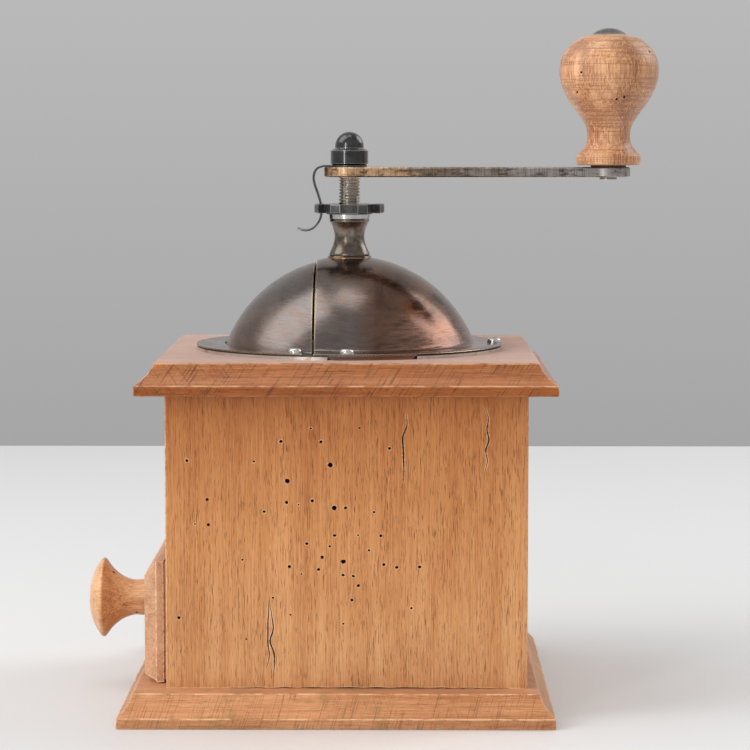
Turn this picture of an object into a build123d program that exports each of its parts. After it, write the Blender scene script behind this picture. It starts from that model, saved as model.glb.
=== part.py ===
"""Antique box coffee mill: a moulded wooden box with a drawer, a round dome with a
sliding hatch, and a crank that turns a cone burr.

Frame: millimetres, +Z up, origin on the spindle's axis at the underside of the base.
The drawer opens towards -X and the crank points towards +X.
"""

import os
from math import acos, asin, cos, degrees, radians, sin, sqrt

from build123d import *

os.makedirs("parts", exist_ok=True)

# ---------------------------------------------------------------- driving dimensions
total_height = 210.0

# wooden box
base_left = 68.7            # reach of the base plate towards the drawer
base_right = 62.6
base_depth = 133.6
base_top = 10.0
body_half = 54.5            # half the body's square plan
body_top = 99.2
wall = 6.5
plate_half = 63.1           # half the top plate's square plan
plate_top = 108.8
band = 3.1                  # straight band below each cove
base_cove = (0.3, 4.5, 0.7)     # ledge, run of the cove, depth of its hollow
plate_cove = (0.4, 5.0, 1.2)

# drawer
opening_top = 48.2
drawer_low = 11.7
front_low = 10.4            # the drawer front hangs lower than its box
front_high = 47.6
drawer_half = 47.6
lip_back = 55.4             # the front's flat lip, from the rebate to the foot of the bevel
lip_face = 58.1
drawer_face = 61.9          # distance of the drawer's raised face from the axis
rebate = 0.7
side_bevel = 3.3            # inset of the raised face at the ends, above and below
top_bevel = 4.8
bottom_bevel = 1.9
drawer_back = 42.0
box_side_top = 42.0
board = 4.5                 # thickness of the drawer's sides, back and bottom
drawer_knob_z = 28.4
drawer_knob_tip = 83.6

# screws
base_screw_x = 48.0
base_screw_y = 51.0
base_shank = 2.0
flange_shank = 1.2
flange_screw_low = plate_top - 7.5
housing_angles = (45, 135, 225, 315)
housing_circle = 52.0
housing_shank = 1.7
knob_shank = 1.8

# hopper metalwork
flange_radius = 48.7
ring_radius = 48.4
ring_bore = 37.6
ring_thick = 0.9
foot_radius = 43.3
foot_thick = 0.4
sheet = 0.4
flange_thick = 0.4
track = 0.55                # height of the track that the hatch's foot runs in
dome_radius = 42.4
hatch_radius = 41.9
dome_centre = 95.7
split_x = -10.1             # cut plane of the fixed dome
hatch_x = -11.0             # cut plane of the hatch
rail_x = -13.6              # cut plane of the retaining rail
screw_circle = 46.0
flange_screw_angles = (0, 90, -90)
rail_screw_angles = (110, -110)
stop_from = -97.0           # stretch of the flange that steps down to the wood
stop_to = -64.0

# neck, wheel and crank
neck_low = 138.3
boss_radius = 6.9
neck_top = 150.0
shaft_radius = 3.5
running_gap = 0.05          # radial clearance of every running fit
washer_low = 150.05
washer_top = 151.35
wheel_low = 151.4
wheel_step = 151.8
wheel_top = 154.65
wheel_radius = 11.4
notches = 8
arm_low = 163.2
arm_top = 166.3
arm_length = 82.0
clip_thick = 0.7
clip_width = 5.0
square_size = 5.0
stud_radius = 3.0
nut_flats = 10.0
nut_hex_top = 172.3
nut_dome = 4.6
nut_top = 177.5
knob_low = 166.95
knob_top = 208.0
pin_radius = 2.35

# grinding works
housing_low = 56.0
housing_top = 92.0
housing_radius = 22.0
housing_bore = 19.6
burr_low = 58.0
burr_top = 74.0
burr_wide = 14.0
burr_slope = 0.44           # radius lost per millimetre of height
burr_gap = 0.75
burr_teeth = 16
bridge_low = 83.5
bridge_top = 87.5
stirrup_low = 49.8
stirrup_top = 53.2
spindle_low = 49.2

base_front = base_depth / 2
ring_top = plate_top + ring_thick
flange_low = ring_top + track
flange_top = flange_low + flange_thick
foot_low = ring_top + (track - foot_thick) / 2


# ------------------------------------------------------------------------- helpers
def save(piece, label):
    """Label the finished piece and write its STEP file."""
    piece.part.label = label
    export_step(piece.part, f"parts/{label}.step")


def ring(bottom, top, outer, inner=0.0, centre=(0, 0), mode=Mode.ADD):
    """A round disc or ring between two heights."""
    with BuildSketch(Plane.XY.offset(bottom)) as face:
        with Locations(centre):
            Circle(outer)
            if inner:
                Circle(inner, mode=Mode.SUBTRACT)
    extrude(face.sketch, amount=top - bottom, mode=mode)


def block(x0, x1, y0, y1, z0, z1, mode=Mode.ADD):
    """A box between two corners."""
    with Locations(((x0 + x1) / 2, (y0 + y1) / 2, (z0 + z1) / 2)):
        Box(x1 - x0, y1 - y0, z1 - z0, mode=mode)


def turned(points):
    """A straight-sided turned shape about Z from (radius, height) points."""
    with BuildSketch(Plane.XZ) as profile:
        with BuildLine():
            Polyline(*points, close=True)
        make_face()
    revolve(profile.sketch, axis=Axis.Z)


def polar(radius, angle):
    """Point at a radius and an angle in degrees."""
    return (radius * cos(radians(angle)), radius * sin(radians(angle)))


def crown(half_width, height):
    """Offset and drop, from a round crown's apex, of the point half-way down its arc."""
    radius = (half_width ** 2 + height ** 2) / (2 * height)
    half_turn = asin(min(1, half_width / radius)) / 2
    return radius * sin(half_turn), radius * (1 - cos(half_turn))


def sector(bottom, top, outer, inner, start, end, mode=Mode.ADD):
    """A ring sector between two angles."""
    middle = (start + end) / 2
    with BuildSketch(Plane.XY.offset(bottom)) as face:
        with BuildLine():
            ThreePointArc(polar(outer, start), polar(outer, middle), polar(outer, end))
            Line(polar(outer, end), polar(inner, end))
            ThreePointArc(polar(inner, end), polar(inner, middle), polar(inner, start))
            Line(polar(inner, start), polar(outer, start))
        make_face()
    extrude(face.sketch, amount=top - bottom, mode=mode)


def moulded_prism(plane, left, right, low, high, cove, depth, mode=Mode.ADD):
    """A slab's section, extruded both ways: a straight band, a small ledge, a hollow cove."""
    ledge, run, hollow = cove
    step = low + band
    middle = (step + high) / 2
    half = ledge + run / 2 + hollow
    inset = ledge + run
    with BuildSketch(plane) as profile:
        with BuildLine():
            Polyline(
                (left + ledge, step), (left, step), (left, low),
                (right, low), (right, step), (right - ledge, step),
            )
            ThreePointArc((right - ledge, step), (right - half, middle), (right - inset, high))
            Line((right - inset, high), (left + inset, high))
            ThreePointArc((left + inset, high), (left + half, middle), (left + ledge, step))
        make_face()
    extrude(profile.sketch, amount=depth, both=True, mode=mode)


def spherical_cap(radius, thickness, low):
    """A thin round dome about Z, open below the given height."""
    with Locations((0, 0, dome_centre)):
        Sphere(radius)
        Sphere(radius - thickness, mode=Mode.SUBTRACT)
    block(-radius, radius, -radius, radius, dome_centre - radius, low, mode=Mode.SUBTRACT)


def screw(head_low, head_high, head_radius, shank_low, shank_radius, place):
    """A cross-slot pan screw with its shank down."""
    ring(shank_low, head_low, shank_radius, centre=place)
    ring(head_low, head_high, head_radius, centre=place)
    rim = edges().filter_by(GeomType.CIRCLE).filter_by_position(Axis.Z, head_high, head_high)
    fillet(rim.sort_by_distance((*place, head_high))[0], radius=(head_high - head_low) * 0.7)
    for length, width in ((head_radius * 1.1, 0.5), (0.5, head_radius * 1.1)):
        block(
            place[0] - length / 2, place[0] + length / 2,
            place[1] - width / 2, place[1] + width / 2,
            head_high - 0.5, head_high, mode=Mode.SUBTRACT,
        )


# --------------------------------------------------------------------- wooden box
with BuildPart() as base_plate:
    moulded_prism(Plane.XZ, -base_left, base_right, 0, base_top, base_cove, base_front)
    moulded_prism(
        Plane.YZ, -base_front, base_front, 0, base_top, base_cove, base_left, mode=Mode.INTERSECT
    )
    with BuildSketch():
        with GridLocations(2 * base_screw_x, 2 * base_screw_y, 2, 2):
            Circle(base_shank)
    extrude(amount=base_top, mode=Mode.SUBTRACT)
    with BuildSketch():
        with GridLocations(2 * base_screw_x, 2 * base_screw_y, 2, 2):
            Circle(4.2)
    extrude(amount=3.0, mode=Mode.SUBTRACT)
save(base_plate, "base_plate")

for label, side in (("body_front", -1), ("body_back", 1)):
    inner = side * (body_half - wall)
    outer = side * body_half
    with BuildPart() as panel:
        block(-body_half, body_half, min(inner, outer), max(inner, outer), base_top, body_top)
        chamfer(panel.edges().filter_by(Axis.Z).group_by(Axis.Y)[0 if side < 0 else -1], length=0.5)
        for x in (-base_screw_x, base_screw_x):
            ring(
                base_top, base_top + 16, base_shank,
                centre=(x, side * base_screw_y), mode=Mode.SUBTRACT,
            )
    save(panel, label)

side_gap = body_half - wall
with BuildPart() as body_right:
    block(body_half - wall, body_half, -side_gap, side_gap, base_top, body_top)
save(body_right, "body_right")

with BuildPart() as body_left:
    block(-body_half, -body_half + wall, -side_gap, side_gap, opening_top, body_top)
save(body_left, "body_left")

corner = body_half - wall
with BuildPart() as corner_blocks:
    for x_side, y_side in ((-1, -1), (1, -1), (-1, 1), (1, 1)):
        with BuildSketch(Plane.XY.offset(opening_top + 2)):
            with BuildLine():
                Polyline(
                    (x_side * corner, y_side * corner),
                    (x_side * (corner - 11), y_side * corner),
                    (x_side * corner, y_side * (corner - 11)),
                    close=True,
                )
            make_face()
        extrude(amount=body_top - opening_top - 2)
save(corner_blocks, "corner_blocks")

runner_top = drawer_low - 0.3
kicker_low = box_side_top + 0.4
for label, side in (("runner_front", -1), ("runner_back", 1)):
    with BuildPart() as runner:
        near = side * (side_gap - 8)
        far = side * side_gap
        block(-46, side_gap, min(near, far), max(near, far), base_top, runner_top)
    save(runner, label)

for label, side in (("kicker_front", -1), ("kicker_back", 1)):
    with BuildPart() as kicker:
        near = side * (side_gap - 6)
        far = side * side_gap
        block(-44, side_gap, min(near, far), max(near, far), kicker_low, kicker_low + 4)
    save(kicker, label)

with BuildPart() as top_plate:
    moulded_prism(Plane.XZ, -plate_half, plate_half, body_top, plate_top, plate_cove, plate_half)
    moulded_prism(
        Plane.YZ, -plate_half, plate_half, body_top, plate_top, plate_cove, plate_half,
        mode=Mode.INTERSECT,
    )
    ring(body_top, plate_top, 36.8, mode=Mode.SUBTRACT)
    ring(plate_top - 0.8, plate_top, 39.2, mode=Mode.SUBTRACT)
    for angle in flange_screw_angles + rail_screw_angles:
        spot = polar(screw_circle, angle)
        ring(flange_screw_low - 0.5, plate_top, flange_shank, centre=spot, mode=Mode.SUBTRACT)
    for angle in housing_angles:
        spot = polar(housing_circle, angle)
        ring(body_top, body_top + 7.5, housing_shank, centre=spot, mode=Mode.SUBTRACT)
save(top_plate, "top_plate")

with BuildPart() as base_screws:
    for x_side, y_side in ((-1, -1), (1, -1), (-1, 1), (1, 1)):
        x = x_side * base_screw_x
        y = y_side * base_screw_y
        ring(1.0, 3.0, 4.0, centre=(x, y))
        ring(3.0, base_top + 15, base_shank, centre=(x, y))
        for across, along in ((6.0, 0.9), (0.9, 6.0)):
            block(
                x - across / 2, x + across / 2, y - along / 2, y + along / 2,
                1.0, 1.9, mode=Mode.SUBTRACT,
            )
save(base_screws, "base_screws")

# ------------------------------------------------------------------------- drawer
front_back_x = -body_half + 4
inner_half = drawer_half - rebate
with BuildPart() as drawer_front:
    block(-lip_face, -lip_back, -drawer_half, drawer_half, front_low, front_high)
    block(-lip_back, front_back_x, -inner_half, inner_half, front_low + 0.3, front_high - 0.3)
    with BuildSketch(Plane.YZ.offset(-lip_face)):
        with Locations((0, (front_low + front_high) / 2)):
            Rectangle(2 * drawer_half - 0.8, front_high - front_low - 0.8)
    face_low = front_low + bottom_bevel
    face_high = front_high - top_bevel
    with BuildSketch(Plane.YZ.offset(-drawer_face)):
        with Locations((0, (face_low + face_high) / 2)):
            Rectangle(2 * (drawer_half - side_bevel), face_high - face_low)
    loft()
    with BuildSketch(Plane.YZ.offset(front_back_x)):
        with Locations((0, drawer_knob_z)):
            Circle(knob_shank)
    extrude(amount=-20, mode=Mode.SUBTRACT)
save(drawer_front, "drawer_front")

side_y = side_gap - 2
for label, side in (("drawer_side_front", -1), ("drawer_side_back", 1)):
    with BuildPart() as drawer_side:
        near = side * (side_y - board)
        far = side * side_y
        block(front_back_x, drawer_back, min(near, far), max(near, far), drawer_low, box_side_top)
    save(drawer_side, label)

with BuildPart() as drawer_tail:
    block(
        drawer_back - board, drawer_back, board - side_y, side_y - board, drawer_low, box_side_top
    )
save(drawer_tail, "drawer_tail")

with BuildPart() as drawer_bottom:
    block(
        front_back_x, drawer_back - board, board - side_y, side_y - board,
        drawer_low, drawer_low + 3,
    )
save(drawer_bottom, "drawer_bottom")

disc_x = -78.8
with BuildPart() as drawer_knob:
    with BuildSketch(Plane.XZ):
        with BuildLine():
            Line((-drawer_face, drawer_knob_z), (-drawer_face, drawer_knob_z + 6.4))
            Spline(
                (-drawer_face, drawer_knob_z + 6.4),
                (-65.5, drawer_knob_z + 5.9),
                (-69.8, drawer_knob_z + 5.7),
                (-74.5, drawer_knob_z + 8.0),
                (disc_x + 0.7, drawer_knob_z + 12.4),
            )
            Line((disc_x + 0.7, drawer_knob_z + 12.4), (disc_x - 0.1, drawer_knob_z + 12.7))
            across, drop = crown(12.7, drawer_knob_tip + disc_x - 0.1)
            ThreePointArc(
                (disc_x - 0.1, drawer_knob_z + 12.7),
                (drop - drawer_knob_tip, drawer_knob_z + across),
                (-drawer_knob_tip, drawer_knob_z),
            )
            Line((-drawer_knob_tip, drawer_knob_z), (-drawer_face, drawer_knob_z))
        make_face()
    revolve(axis=Axis((0, 0, drawer_knob_z), (1, 0, 0)))
    with BuildSketch(Plane.YZ.offset(-drawer_face)):
        with Locations((0, drawer_knob_z)):
            Circle(knob_shank)
    extrude(amount=-13, mode=Mode.SUBTRACT)
save(drawer_knob, "drawer_knob")

with BuildPart() as drawer_knob_screw:
    with BuildSketch(Plane.YZ.offset(front_back_x)):
        with Locations((0, drawer_knob_z)):
            Circle(knob_shank)
    extrude(amount=-(13 + drawer_face + front_back_x))
    with BuildSketch(Plane.YZ.offset(front_back_x)):
        with Locations((0, drawer_knob_z)):
            Circle(3.6)
    extrude(amount=1.6)
    block(
        front_back_x + 0.9, front_back_x + 1.6, -3.6, 3.6,
        drawer_knob_z - 0.4, drawer_knob_z + 0.4, mode=Mode.SUBTRACT,
    )
save(drawer_knob_screw, "drawer_knob_screw")

# -------------------------------------------------------------- hopper metalwork
with BuildPart() as base_ring:
    ring(plate_top, ring_top, ring_radius, ring_bore)
    sector(
        plate_top, ring_top, ring_radius + 1, foot_radius + 0.4,
        stop_from, stop_to, mode=Mode.SUBTRACT,
    )
    for angle in flange_screw_angles + rail_screw_angles:
        spot = polar(screw_circle, angle)
        ring(plate_top, ring_top, flange_shank, centre=spot, mode=Mode.SUBTRACT)
save(base_ring, "base_ring")

with BuildPart() as track_spacer:
    ring(ring_top, flange_low, flange_radius - 1.1, foot_radius + 0.4)
    sector(
        ring_top, flange_low, flange_radius, foot_radius + 0.2,
        stop_from, stop_to, mode=Mode.SUBTRACT,
    )
    for angle in flange_screw_angles + rail_screw_angles:
        spot = polar(screw_circle, angle)
        ring(ring_top, flange_low, flange_shank, centre=spot, mode=Mode.SUBTRACT)
save(track_spacer, "track_spacer")

flange_bore = sqrt((dome_radius - sheet) ** 2 - (flange_low - dome_centre) ** 2)
with BuildPart() as dome_shell:
    spherical_cap(dome_radius, sheet, flange_low)
    ring(flange_low, flange_top, flange_radius, flange_bore)
    ring(dome_centre + dome_radius - 2, neck_low, boss_radius)
    with Locations((0, 0, dome_centre)):
        Sphere(dome_radius - sheet, mode=Mode.SUBTRACT)
    sector(plate_top, flange_low, flange_radius, foot_radius + 0.5, stop_from, stop_to)
    ring(dome_centre, neck_low, 5.0, mode=Mode.SUBTRACT)
    split(bisect_by=Plane.YZ.offset(split_x), keep=Keep.TOP)
    for angle in flange_screw_angles:
        spot = polar(screw_circle, angle)
        ring(plate_top, flange_top, flange_shank, centre=spot, mode=Mode.SUBTRACT)
save(dome_shell, "dome_shell")

with BuildPart() as retaining_rail:
    ring(flange_low, flange_top, flange_radius, 39.8)
    split(bisect_by=Plane.YZ.offset(rail_x), keep=Keep.BOTTOM)
    for angle in rail_screw_angles:
        spot = polar(screw_circle, angle)
        ring(flange_low, flange_top, flange_shank, centre=spot, mode=Mode.SUBTRACT)
save(retaining_rail, "retaining_rail")

foot_bore = sqrt((hatch_radius - sheet) ** 2 - (foot_low - dome_centre) ** 2)
foot_end = degrees(acos(hatch_x / foot_radius))
with BuildPart() as hatch:
    spherical_cap(hatch_radius, sheet, foot_low)
    ring(foot_low, foot_low + foot_thick, foot_radius, foot_bore)
    split(bisect_by=Plane.YZ.offset(hatch_x), keep=Keep.BOTTOM)
    sector(
        foot_low, foot_low + foot_thick, foot_radius, foot_radius - 1.6,
        -foot_end - 1.5, stop_from - 0.3,
    )
save(hatch, "hatch")

with BuildPart() as flange_screws:
    for angle in flange_screw_angles + rail_screw_angles:
        screw(
            flange_top, flange_top + 1.5, 2.2,
            flange_screw_low, flange_shank, polar(screw_circle, angle),
        )
save(flange_screws, "flange_screws")

funnel_spout = 19.2
with BuildPart() as funnel:
    turned((
        (39.0, plate_top), (39.0, plate_top - 0.8), (36.4, plate_top - 0.8), (funnel_spout, 94.0),
        (funnel_spout, 89.0), (funnel_spout - 0.8, 89.0), (funnel_spout - 0.8, 94.4),
        (35.9, plate_top),
    ))
save(funnel, "funnel")

with BuildPart() as neck_bush:
    rim_low = neck_top - 1.0
    with BuildSketch(Plane.XZ):
        with BuildLine():
            Polyline((3.6, neck_low), (6.2, neck_low), (6.4, neck_low + 0.5))
            Spline(
                (6.4, neck_low + 0.5), (5.15, neck_low + 3.4), (4.7, neck_low + 6.1),
                (5.3, neck_low + 8.8), (6.1, rim_low),
            )
            Polyline((6.1, rim_low), (6.3, rim_low), (6.3, neck_top), (3.6, neck_top), (3.6, neck_low))
        make_face()
    revolve(axis=Axis.Z)
    ring(131.0, neck_low, 5.0)
    ring(131.0, neck_top, shaft_radius + running_gap, mode=Mode.SUBTRACT)
save(neck_bush, "neck_bush")

neck_nut_top = dome_centre + sqrt((dome_radius - sheet) ** 2 - 8.1 ** 2)
with BuildPart() as neck_nut:
    with BuildSketch(Plane.XY.offset(neck_nut_top - 3)):
        RegularPolygon(radius=8.0, side_count=6)
        Circle(5.0, mode=Mode.SUBTRACT)
    extrude(amount=3)
save(neck_nut, "neck_nut")

# ---------------------------------------------------------------- grinding works
with BuildPart() as burr_housing:
    ring(housing_low, housing_top, housing_radius)
    for angle in housing_angles:
        upright = Plane(
            origin=(0, 0, 0), x_dir=(*polar(1, angle), 0), z_dir=(*polar(1, angle - 90), 0)
        )
        with BuildSketch(upright):
            with BuildLine():
                Polyline(
                    (20, 74), (20, 86), (43, body_top), (58, body_top), (58, 95.5), (45, 95.5),
                    close=True,
                )
            make_face()
        extrude(amount=4, both=True)
    ring(housing_low, housing_top, housing_bore, mode=Mode.SUBTRACT)
    for angle in housing_angles:
        spot = polar(housing_circle, angle)
        ring(95, body_top, housing_shank, centre=spot, mode=Mode.SUBTRACT)
save(burr_housing, "burr_housing")

with BuildPart() as housing_screws:
    for angle in housing_angles:
        ring(95.5, body_top + 7.5, housing_shank, centre=polar(housing_circle, angle))
        ring(93.7, 95.5, 3.4, centre=polar(housing_circle, angle))
save(housing_screws, "housing_screws")

throat_z = burr_low + 8
throat_radius = burr_wide + burr_gap - 8 * burr_slope
with BuildPart() as ring_burr:
    turned((
        (housing_bore, burr_low), (housing_bore, burr_low + 20), (17.6, burr_low + 20),
        (throat_radius, throat_z), (burr_wide + burr_gap, burr_low),
    ))
    for tooth in range(burr_teeth):
        angle = tooth * 360 / burr_teeth
        start = Vector(*polar(throat_radius, angle), throat_z)
        climb = Vector(*polar(17.6 - throat_radius, angle), 20 - 8)
        with BuildSketch(Plane(origin=start, z_dir=climb)):
            Circle(0.9)
        extrude(amount=climb.length, mode=Mode.SUBTRACT)
save(ring_burr, "ring_burr")

seat_radius = 4.0
with BuildPart() as cone_burr:
    cone_top = burr_wide - (burr_top - burr_low) * burr_slope
    turned((
        (seat_radius, burr_low), (burr_wide, burr_low), (cone_top, burr_top), (seat_radius, burr_top)
    ))
    for tooth in range(burr_teeth):
        angle = tooth * 360 / burr_teeth
        start = Vector(*polar(burr_wide + 0.2, angle), burr_low - 1)
        climb = Vector(*polar(-(burr_top - burr_low) * burr_slope, angle + 14), burr_top - burr_low + 2)
        with BuildSketch(Plane(origin=start, z_dir=climb)):
            Circle(0.8)
        extrude(amount=climb.length, mode=Mode.SUBTRACT)
save(cone_burr, "cone_burr")

burr_nut_low = burr_low - 3.5
with BuildPart() as burr_nut:
    with BuildSketch(Plane.XY.offset(burr_nut_low)):
        RegularPolygon(radius=6.2, side_count=6)
        Circle(stud_radius, mode=Mode.SUBTRACT)
    extrude(amount=burr_low - burr_nut_low)
save(burr_nut, "burr_nut")

with BuildPart() as upper_bridge:
    ring(bridge_low, bridge_top, 6.8)
    for angle in (90, 210, 330):
        with BuildSketch(Plane.XY.offset(bridge_low)):
            with Locations(Location((0, 0, 0), (0, 0, angle))):
                with Locations((housing_bore / 2, 0)):
                    Rectangle(housing_bore + 2, 5)
        extrude(amount=bridge_top - bridge_low)
    with BuildSketch(Plane.XY.offset(bridge_low)):
        Circle(housing_bore)
    extrude(amount=bridge_top - bridge_low, mode=Mode.INTERSECT)
    ring(bridge_low, bridge_top, shaft_radius + running_gap, mode=Mode.SUBTRACT)
save(upper_bridge, "upper_bridge")

with BuildPart() as lower_stirrup:
    block(-4, 4, -25, 25, stirrup_low, 70)
    block(-5, 5, -housing_radius, housing_radius, stirrup_top, 71, mode=Mode.SUBTRACT)
    ring(stirrup_top, 71, housing_radius, mode=Mode.SUBTRACT)
    ring(stirrup_low, stirrup_top, 6.8)
    ring(stirrup_low, stirrup_top, stud_radius + running_gap, mode=Mode.SUBTRACT)
save(lower_stirrup, "lower_stirrup")

with BuildPart() as spindle:
    ring(spindle_low, burr_low, stud_radius)
    ring(burr_low, burr_top, seat_radius)
    ring(burr_top, arm_low, shaft_radius)
    with BuildSketch(Plane.XY.offset(arm_low)):
        Rectangle(square_size, square_size)
    extrude(amount=arm_top + clip_thick - arm_low)
    ring(arm_top + clip_thick, nut_top - 3, stud_radius)
    key_z = (washer_low - 3, arm_low)
    block(-4, 4, 3.0, 4, *key_z, mode=Mode.SUBTRACT)
save(spindle, "spindle")

spring_wire = 0.6
spring_low = burr_top + spring_wire
spring_high = bridge_low - spring_wire
with BuildPart() as spindle_spring:
    with BuildLine(Plane.XY.offset(spring_low)):
        coil = Helix(pitch=(spring_high - spring_low) / 4, height=spring_high - spring_low, radius=5.4)
    with BuildSketch(Plane(origin=coil @ 0, z_dir=coil % 0)):
        Circle(spring_wire)
    sweep()
save(spindle_spring, "spindle_spring")

# ------------------------------------------------------- wheel, clip, crank, knob
with BuildPart() as bearing_washer:
    ring(washer_low, washer_top, 6.5, shaft_radius + running_gap)
    block(-1.5, 1.5, 3.05, 4.5, washer_low, washer_top)
save(bearing_washer, "bearing_washer")

notch_width = 5.6
notch_root = wheel_radius - 3.2
with BuildPart() as adjusting_wheel:
    ring(wheel_step, wheel_top, wheel_radius)
    chamfer(adjusting_wheel.edges().filter_by(GeomType.CIRCLE), length=0.3)
    ring(wheel_low, wheel_step, 7.2)
    for notch in range(notches):
        turn = Location((0, 0, wheel_step), (0, 0, notch * 360 / notches))
        with BuildSketch(Plane(turn)):
            with Locations((notch_root + 4, 0)):
                Rectangle(8, notch_width)
        extrude(amount=wheel_top - wheel_step, mode=Mode.SUBTRACT)
    ring(wheel_low, wheel_top, shaft_radius + running_gap, mode=Mode.SUBTRACT)
save(adjusting_wheel, "adjusting_wheel")

hub_eye = 8.0
knob_eye = 6.9
with BuildPart() as crank_arm:
    with BuildSketch(Plane.XY.offset(arm_low)):
        Circle(hub_eye)
        with Locations((arm_length, 0)):
            Circle(knob_eye)
        with BuildLine():
            Polyline(
                (0, -6.6), (arm_length - 14, -4.8), (arm_length, -5.6),
                (arm_length, 5.6), (arm_length - 14, 4.8), (0, 6.6), close=True,
            )
        make_face()
        Rectangle(square_size, square_size, mode=Mode.SUBTRACT)
        with Locations((arm_length, 0)):
            Circle(pin_radius, mode=Mode.SUBTRACT)
    extrude(amount=arm_top - arm_low)
    rim = crank_arm.faces().filter_by(Axis.Z).sort_by(Axis.Z)
    chamfer(rim[0].outer_wire().edges() + rim[-1].outer_wire().edges(), length=0.35)
save(crank_arm, "crank_arm")

clip_mid = arm_top + clip_thick / 2
clip_bend = 3.1
with BuildPart() as spring_clip:
    with BuildLine(Plane.XZ) as clip_path:
        run = Line((-4.0, clip_mid), (-hub_eye - 0.2, clip_mid))
        foot = (-hub_eye - 0.2 - clip_bend, clip_mid - clip_bend)
        turn_down = TangentArc(run @ 1, foot, tangent=run % 1)
        Spline(
            turn_down @ 1, (-10.3, 158.6), (-9.0, 154.6), (-8.9, 151.8), (-9.6, 149.4),
            (-11.9, 146.9), (-14.4, 146.2), (-16.7, 147.2), tangents=[turn_down % 1, (-1.6, 1)],
        )
    with BuildSketch(Plane(origin=(-4.0, 0, clip_mid), x_dir=(0, 1, 0), z_dir=(-1, 0, 0))):
        Rectangle(clip_width, clip_thick)
    sweep(path=clip_path.line)
    ring(arm_top, arm_top + clip_thick, 5.6)
    block(-2.5, 2.5, -2.5, 2.5, arm_top, arm_top + clip_thick, mode=Mode.SUBTRACT)
save(spring_clip, "spring_clip")

nut_low = arm_top + clip_thick
with BuildPart() as cap_nut:
    with BuildSketch(Plane.XY.offset(nut_low)):
        RegularPolygon(radius=nut_flats / 2, side_count=6, major_radius=False, rotation=5)
    extrude(amount=nut_hex_top - nut_low)
    with BuildSketch(Plane.XZ) as corner_turning:
        with BuildLine():
            Polyline(
                (0, nut_low), (5.3, nut_low), (6.0, nut_low + 0.45),
                (6.0, nut_hex_top - 0.8), (4.7, nut_hex_top), (0, nut_hex_top), close=True,
            )
        make_face()
    revolve(corner_turning.sketch, axis=Axis.Z, mode=Mode.INTERSECT)
    with BuildSketch(Plane.XZ):
        with BuildLine():
            dome_base = nut_hex_top - 0.4
            across, drop = crown(nut_dome, nut_dome - 0.05)
            shoulder = nut_top - nut_dome + 0.05
            Line((0, dome_base), (nut_dome, dome_base))
            Line((nut_dome, dome_base), (nut_dome, shoulder))
            ThreePointArc((nut_dome, shoulder), (across, nut_top - drop), (0, nut_top))
            Line((0, nut_top), (0, dome_base))
        make_face()
    revolve(axis=Axis.Z)
    ring(nut_low, nut_top - 3, stud_radius, mode=Mode.SUBTRACT)
save(cap_nut, "cap_nut")

cap_low = knob_top + 0.1
with BuildPart() as knob_pin:
    ring(162.4, cap_low, pin_radius, centre=(arm_length, 0))
    ring(162.4, arm_low, pin_radius + 0.4, centre=(arm_length, 0))
    with BuildSketch(Plane(origin=(arm_length, 0, 0), x_dir=(1, 0, 0), z_dir=(0, -1, 0))):
        with BuildLine():
            across, drop = crown(5.3, total_height - cap_low)
            Line((0, cap_low), (5.3, cap_low))
            ThreePointArc((5.3, cap_low), (across, total_height - drop), (0, total_height))
            Line((0, total_height), (0, cap_low))
        make_face()
    revolve(axis=Axis((arm_length, 0, 0), (0, 0, 1)))
save(knob_pin, "knob_pin")

with BuildPart() as knob_washer:
    ring(arm_top, knob_low - 0.1, 5.6, pin_radius, centre=(arm_length, 0))
save(knob_washer, "knob_washer")

with BuildPart() as crank_knob:
    with BuildSketch(Plane(origin=(arm_length, 0, 0), x_dir=(1, 0, 0), z_dir=(0, -1, 0))):
        with BuildLine():
            start = (9.8, knob_low)
            finish = (5.4, knob_top)
            Line((0, knob_low), start)
            Spline(
                start, (10.2, knob_low + 2.2), (8.0, knob_low + 5.2), (6.7, knob_low + 8.8),
                (8.7, knob_low + 14.4), (13.1, knob_low + 21.0), (15.8, knob_low + 29.5),
                (13.8, knob_low + 36.0), (8.7, knob_low + 40.2), finish,
            )
            Line(finish, (0, knob_top))
            Line((0, knob_top), (0, knob_low))
        make_face()
    revolve(axis=Axis((arm_length, 0, 0), (0, 0, 1)))
    ring(knob_low, knob_top, pin_radius + running_gap, centre=(arm_length, 0), mode=Mode.SUBTRACT)
save(crank_knob, "crank_knob")
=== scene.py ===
"""The looks of the antique box coffee mill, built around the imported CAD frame.

Lengths are written in millimetres and turned into metres where meshes are made.
"""

import math
import random

import bmesh
import bpy
from mathutils import Matrix, Vector, noise


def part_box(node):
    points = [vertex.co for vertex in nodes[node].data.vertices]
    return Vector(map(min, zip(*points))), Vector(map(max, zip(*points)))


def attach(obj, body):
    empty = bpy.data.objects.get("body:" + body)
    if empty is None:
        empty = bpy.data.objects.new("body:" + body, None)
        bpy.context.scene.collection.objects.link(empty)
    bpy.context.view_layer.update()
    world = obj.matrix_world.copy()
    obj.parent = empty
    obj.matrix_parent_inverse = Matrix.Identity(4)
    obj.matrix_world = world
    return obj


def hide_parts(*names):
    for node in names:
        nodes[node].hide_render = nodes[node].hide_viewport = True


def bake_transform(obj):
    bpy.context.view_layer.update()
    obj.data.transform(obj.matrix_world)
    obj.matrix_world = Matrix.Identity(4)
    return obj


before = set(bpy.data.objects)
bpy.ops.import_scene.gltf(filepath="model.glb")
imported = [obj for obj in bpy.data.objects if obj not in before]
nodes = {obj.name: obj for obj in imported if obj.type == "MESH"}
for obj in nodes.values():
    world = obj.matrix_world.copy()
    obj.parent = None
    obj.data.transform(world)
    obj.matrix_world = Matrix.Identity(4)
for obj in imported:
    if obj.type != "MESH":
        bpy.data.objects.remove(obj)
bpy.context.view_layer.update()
MM = 0.001
TURN = 2 * math.pi
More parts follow.
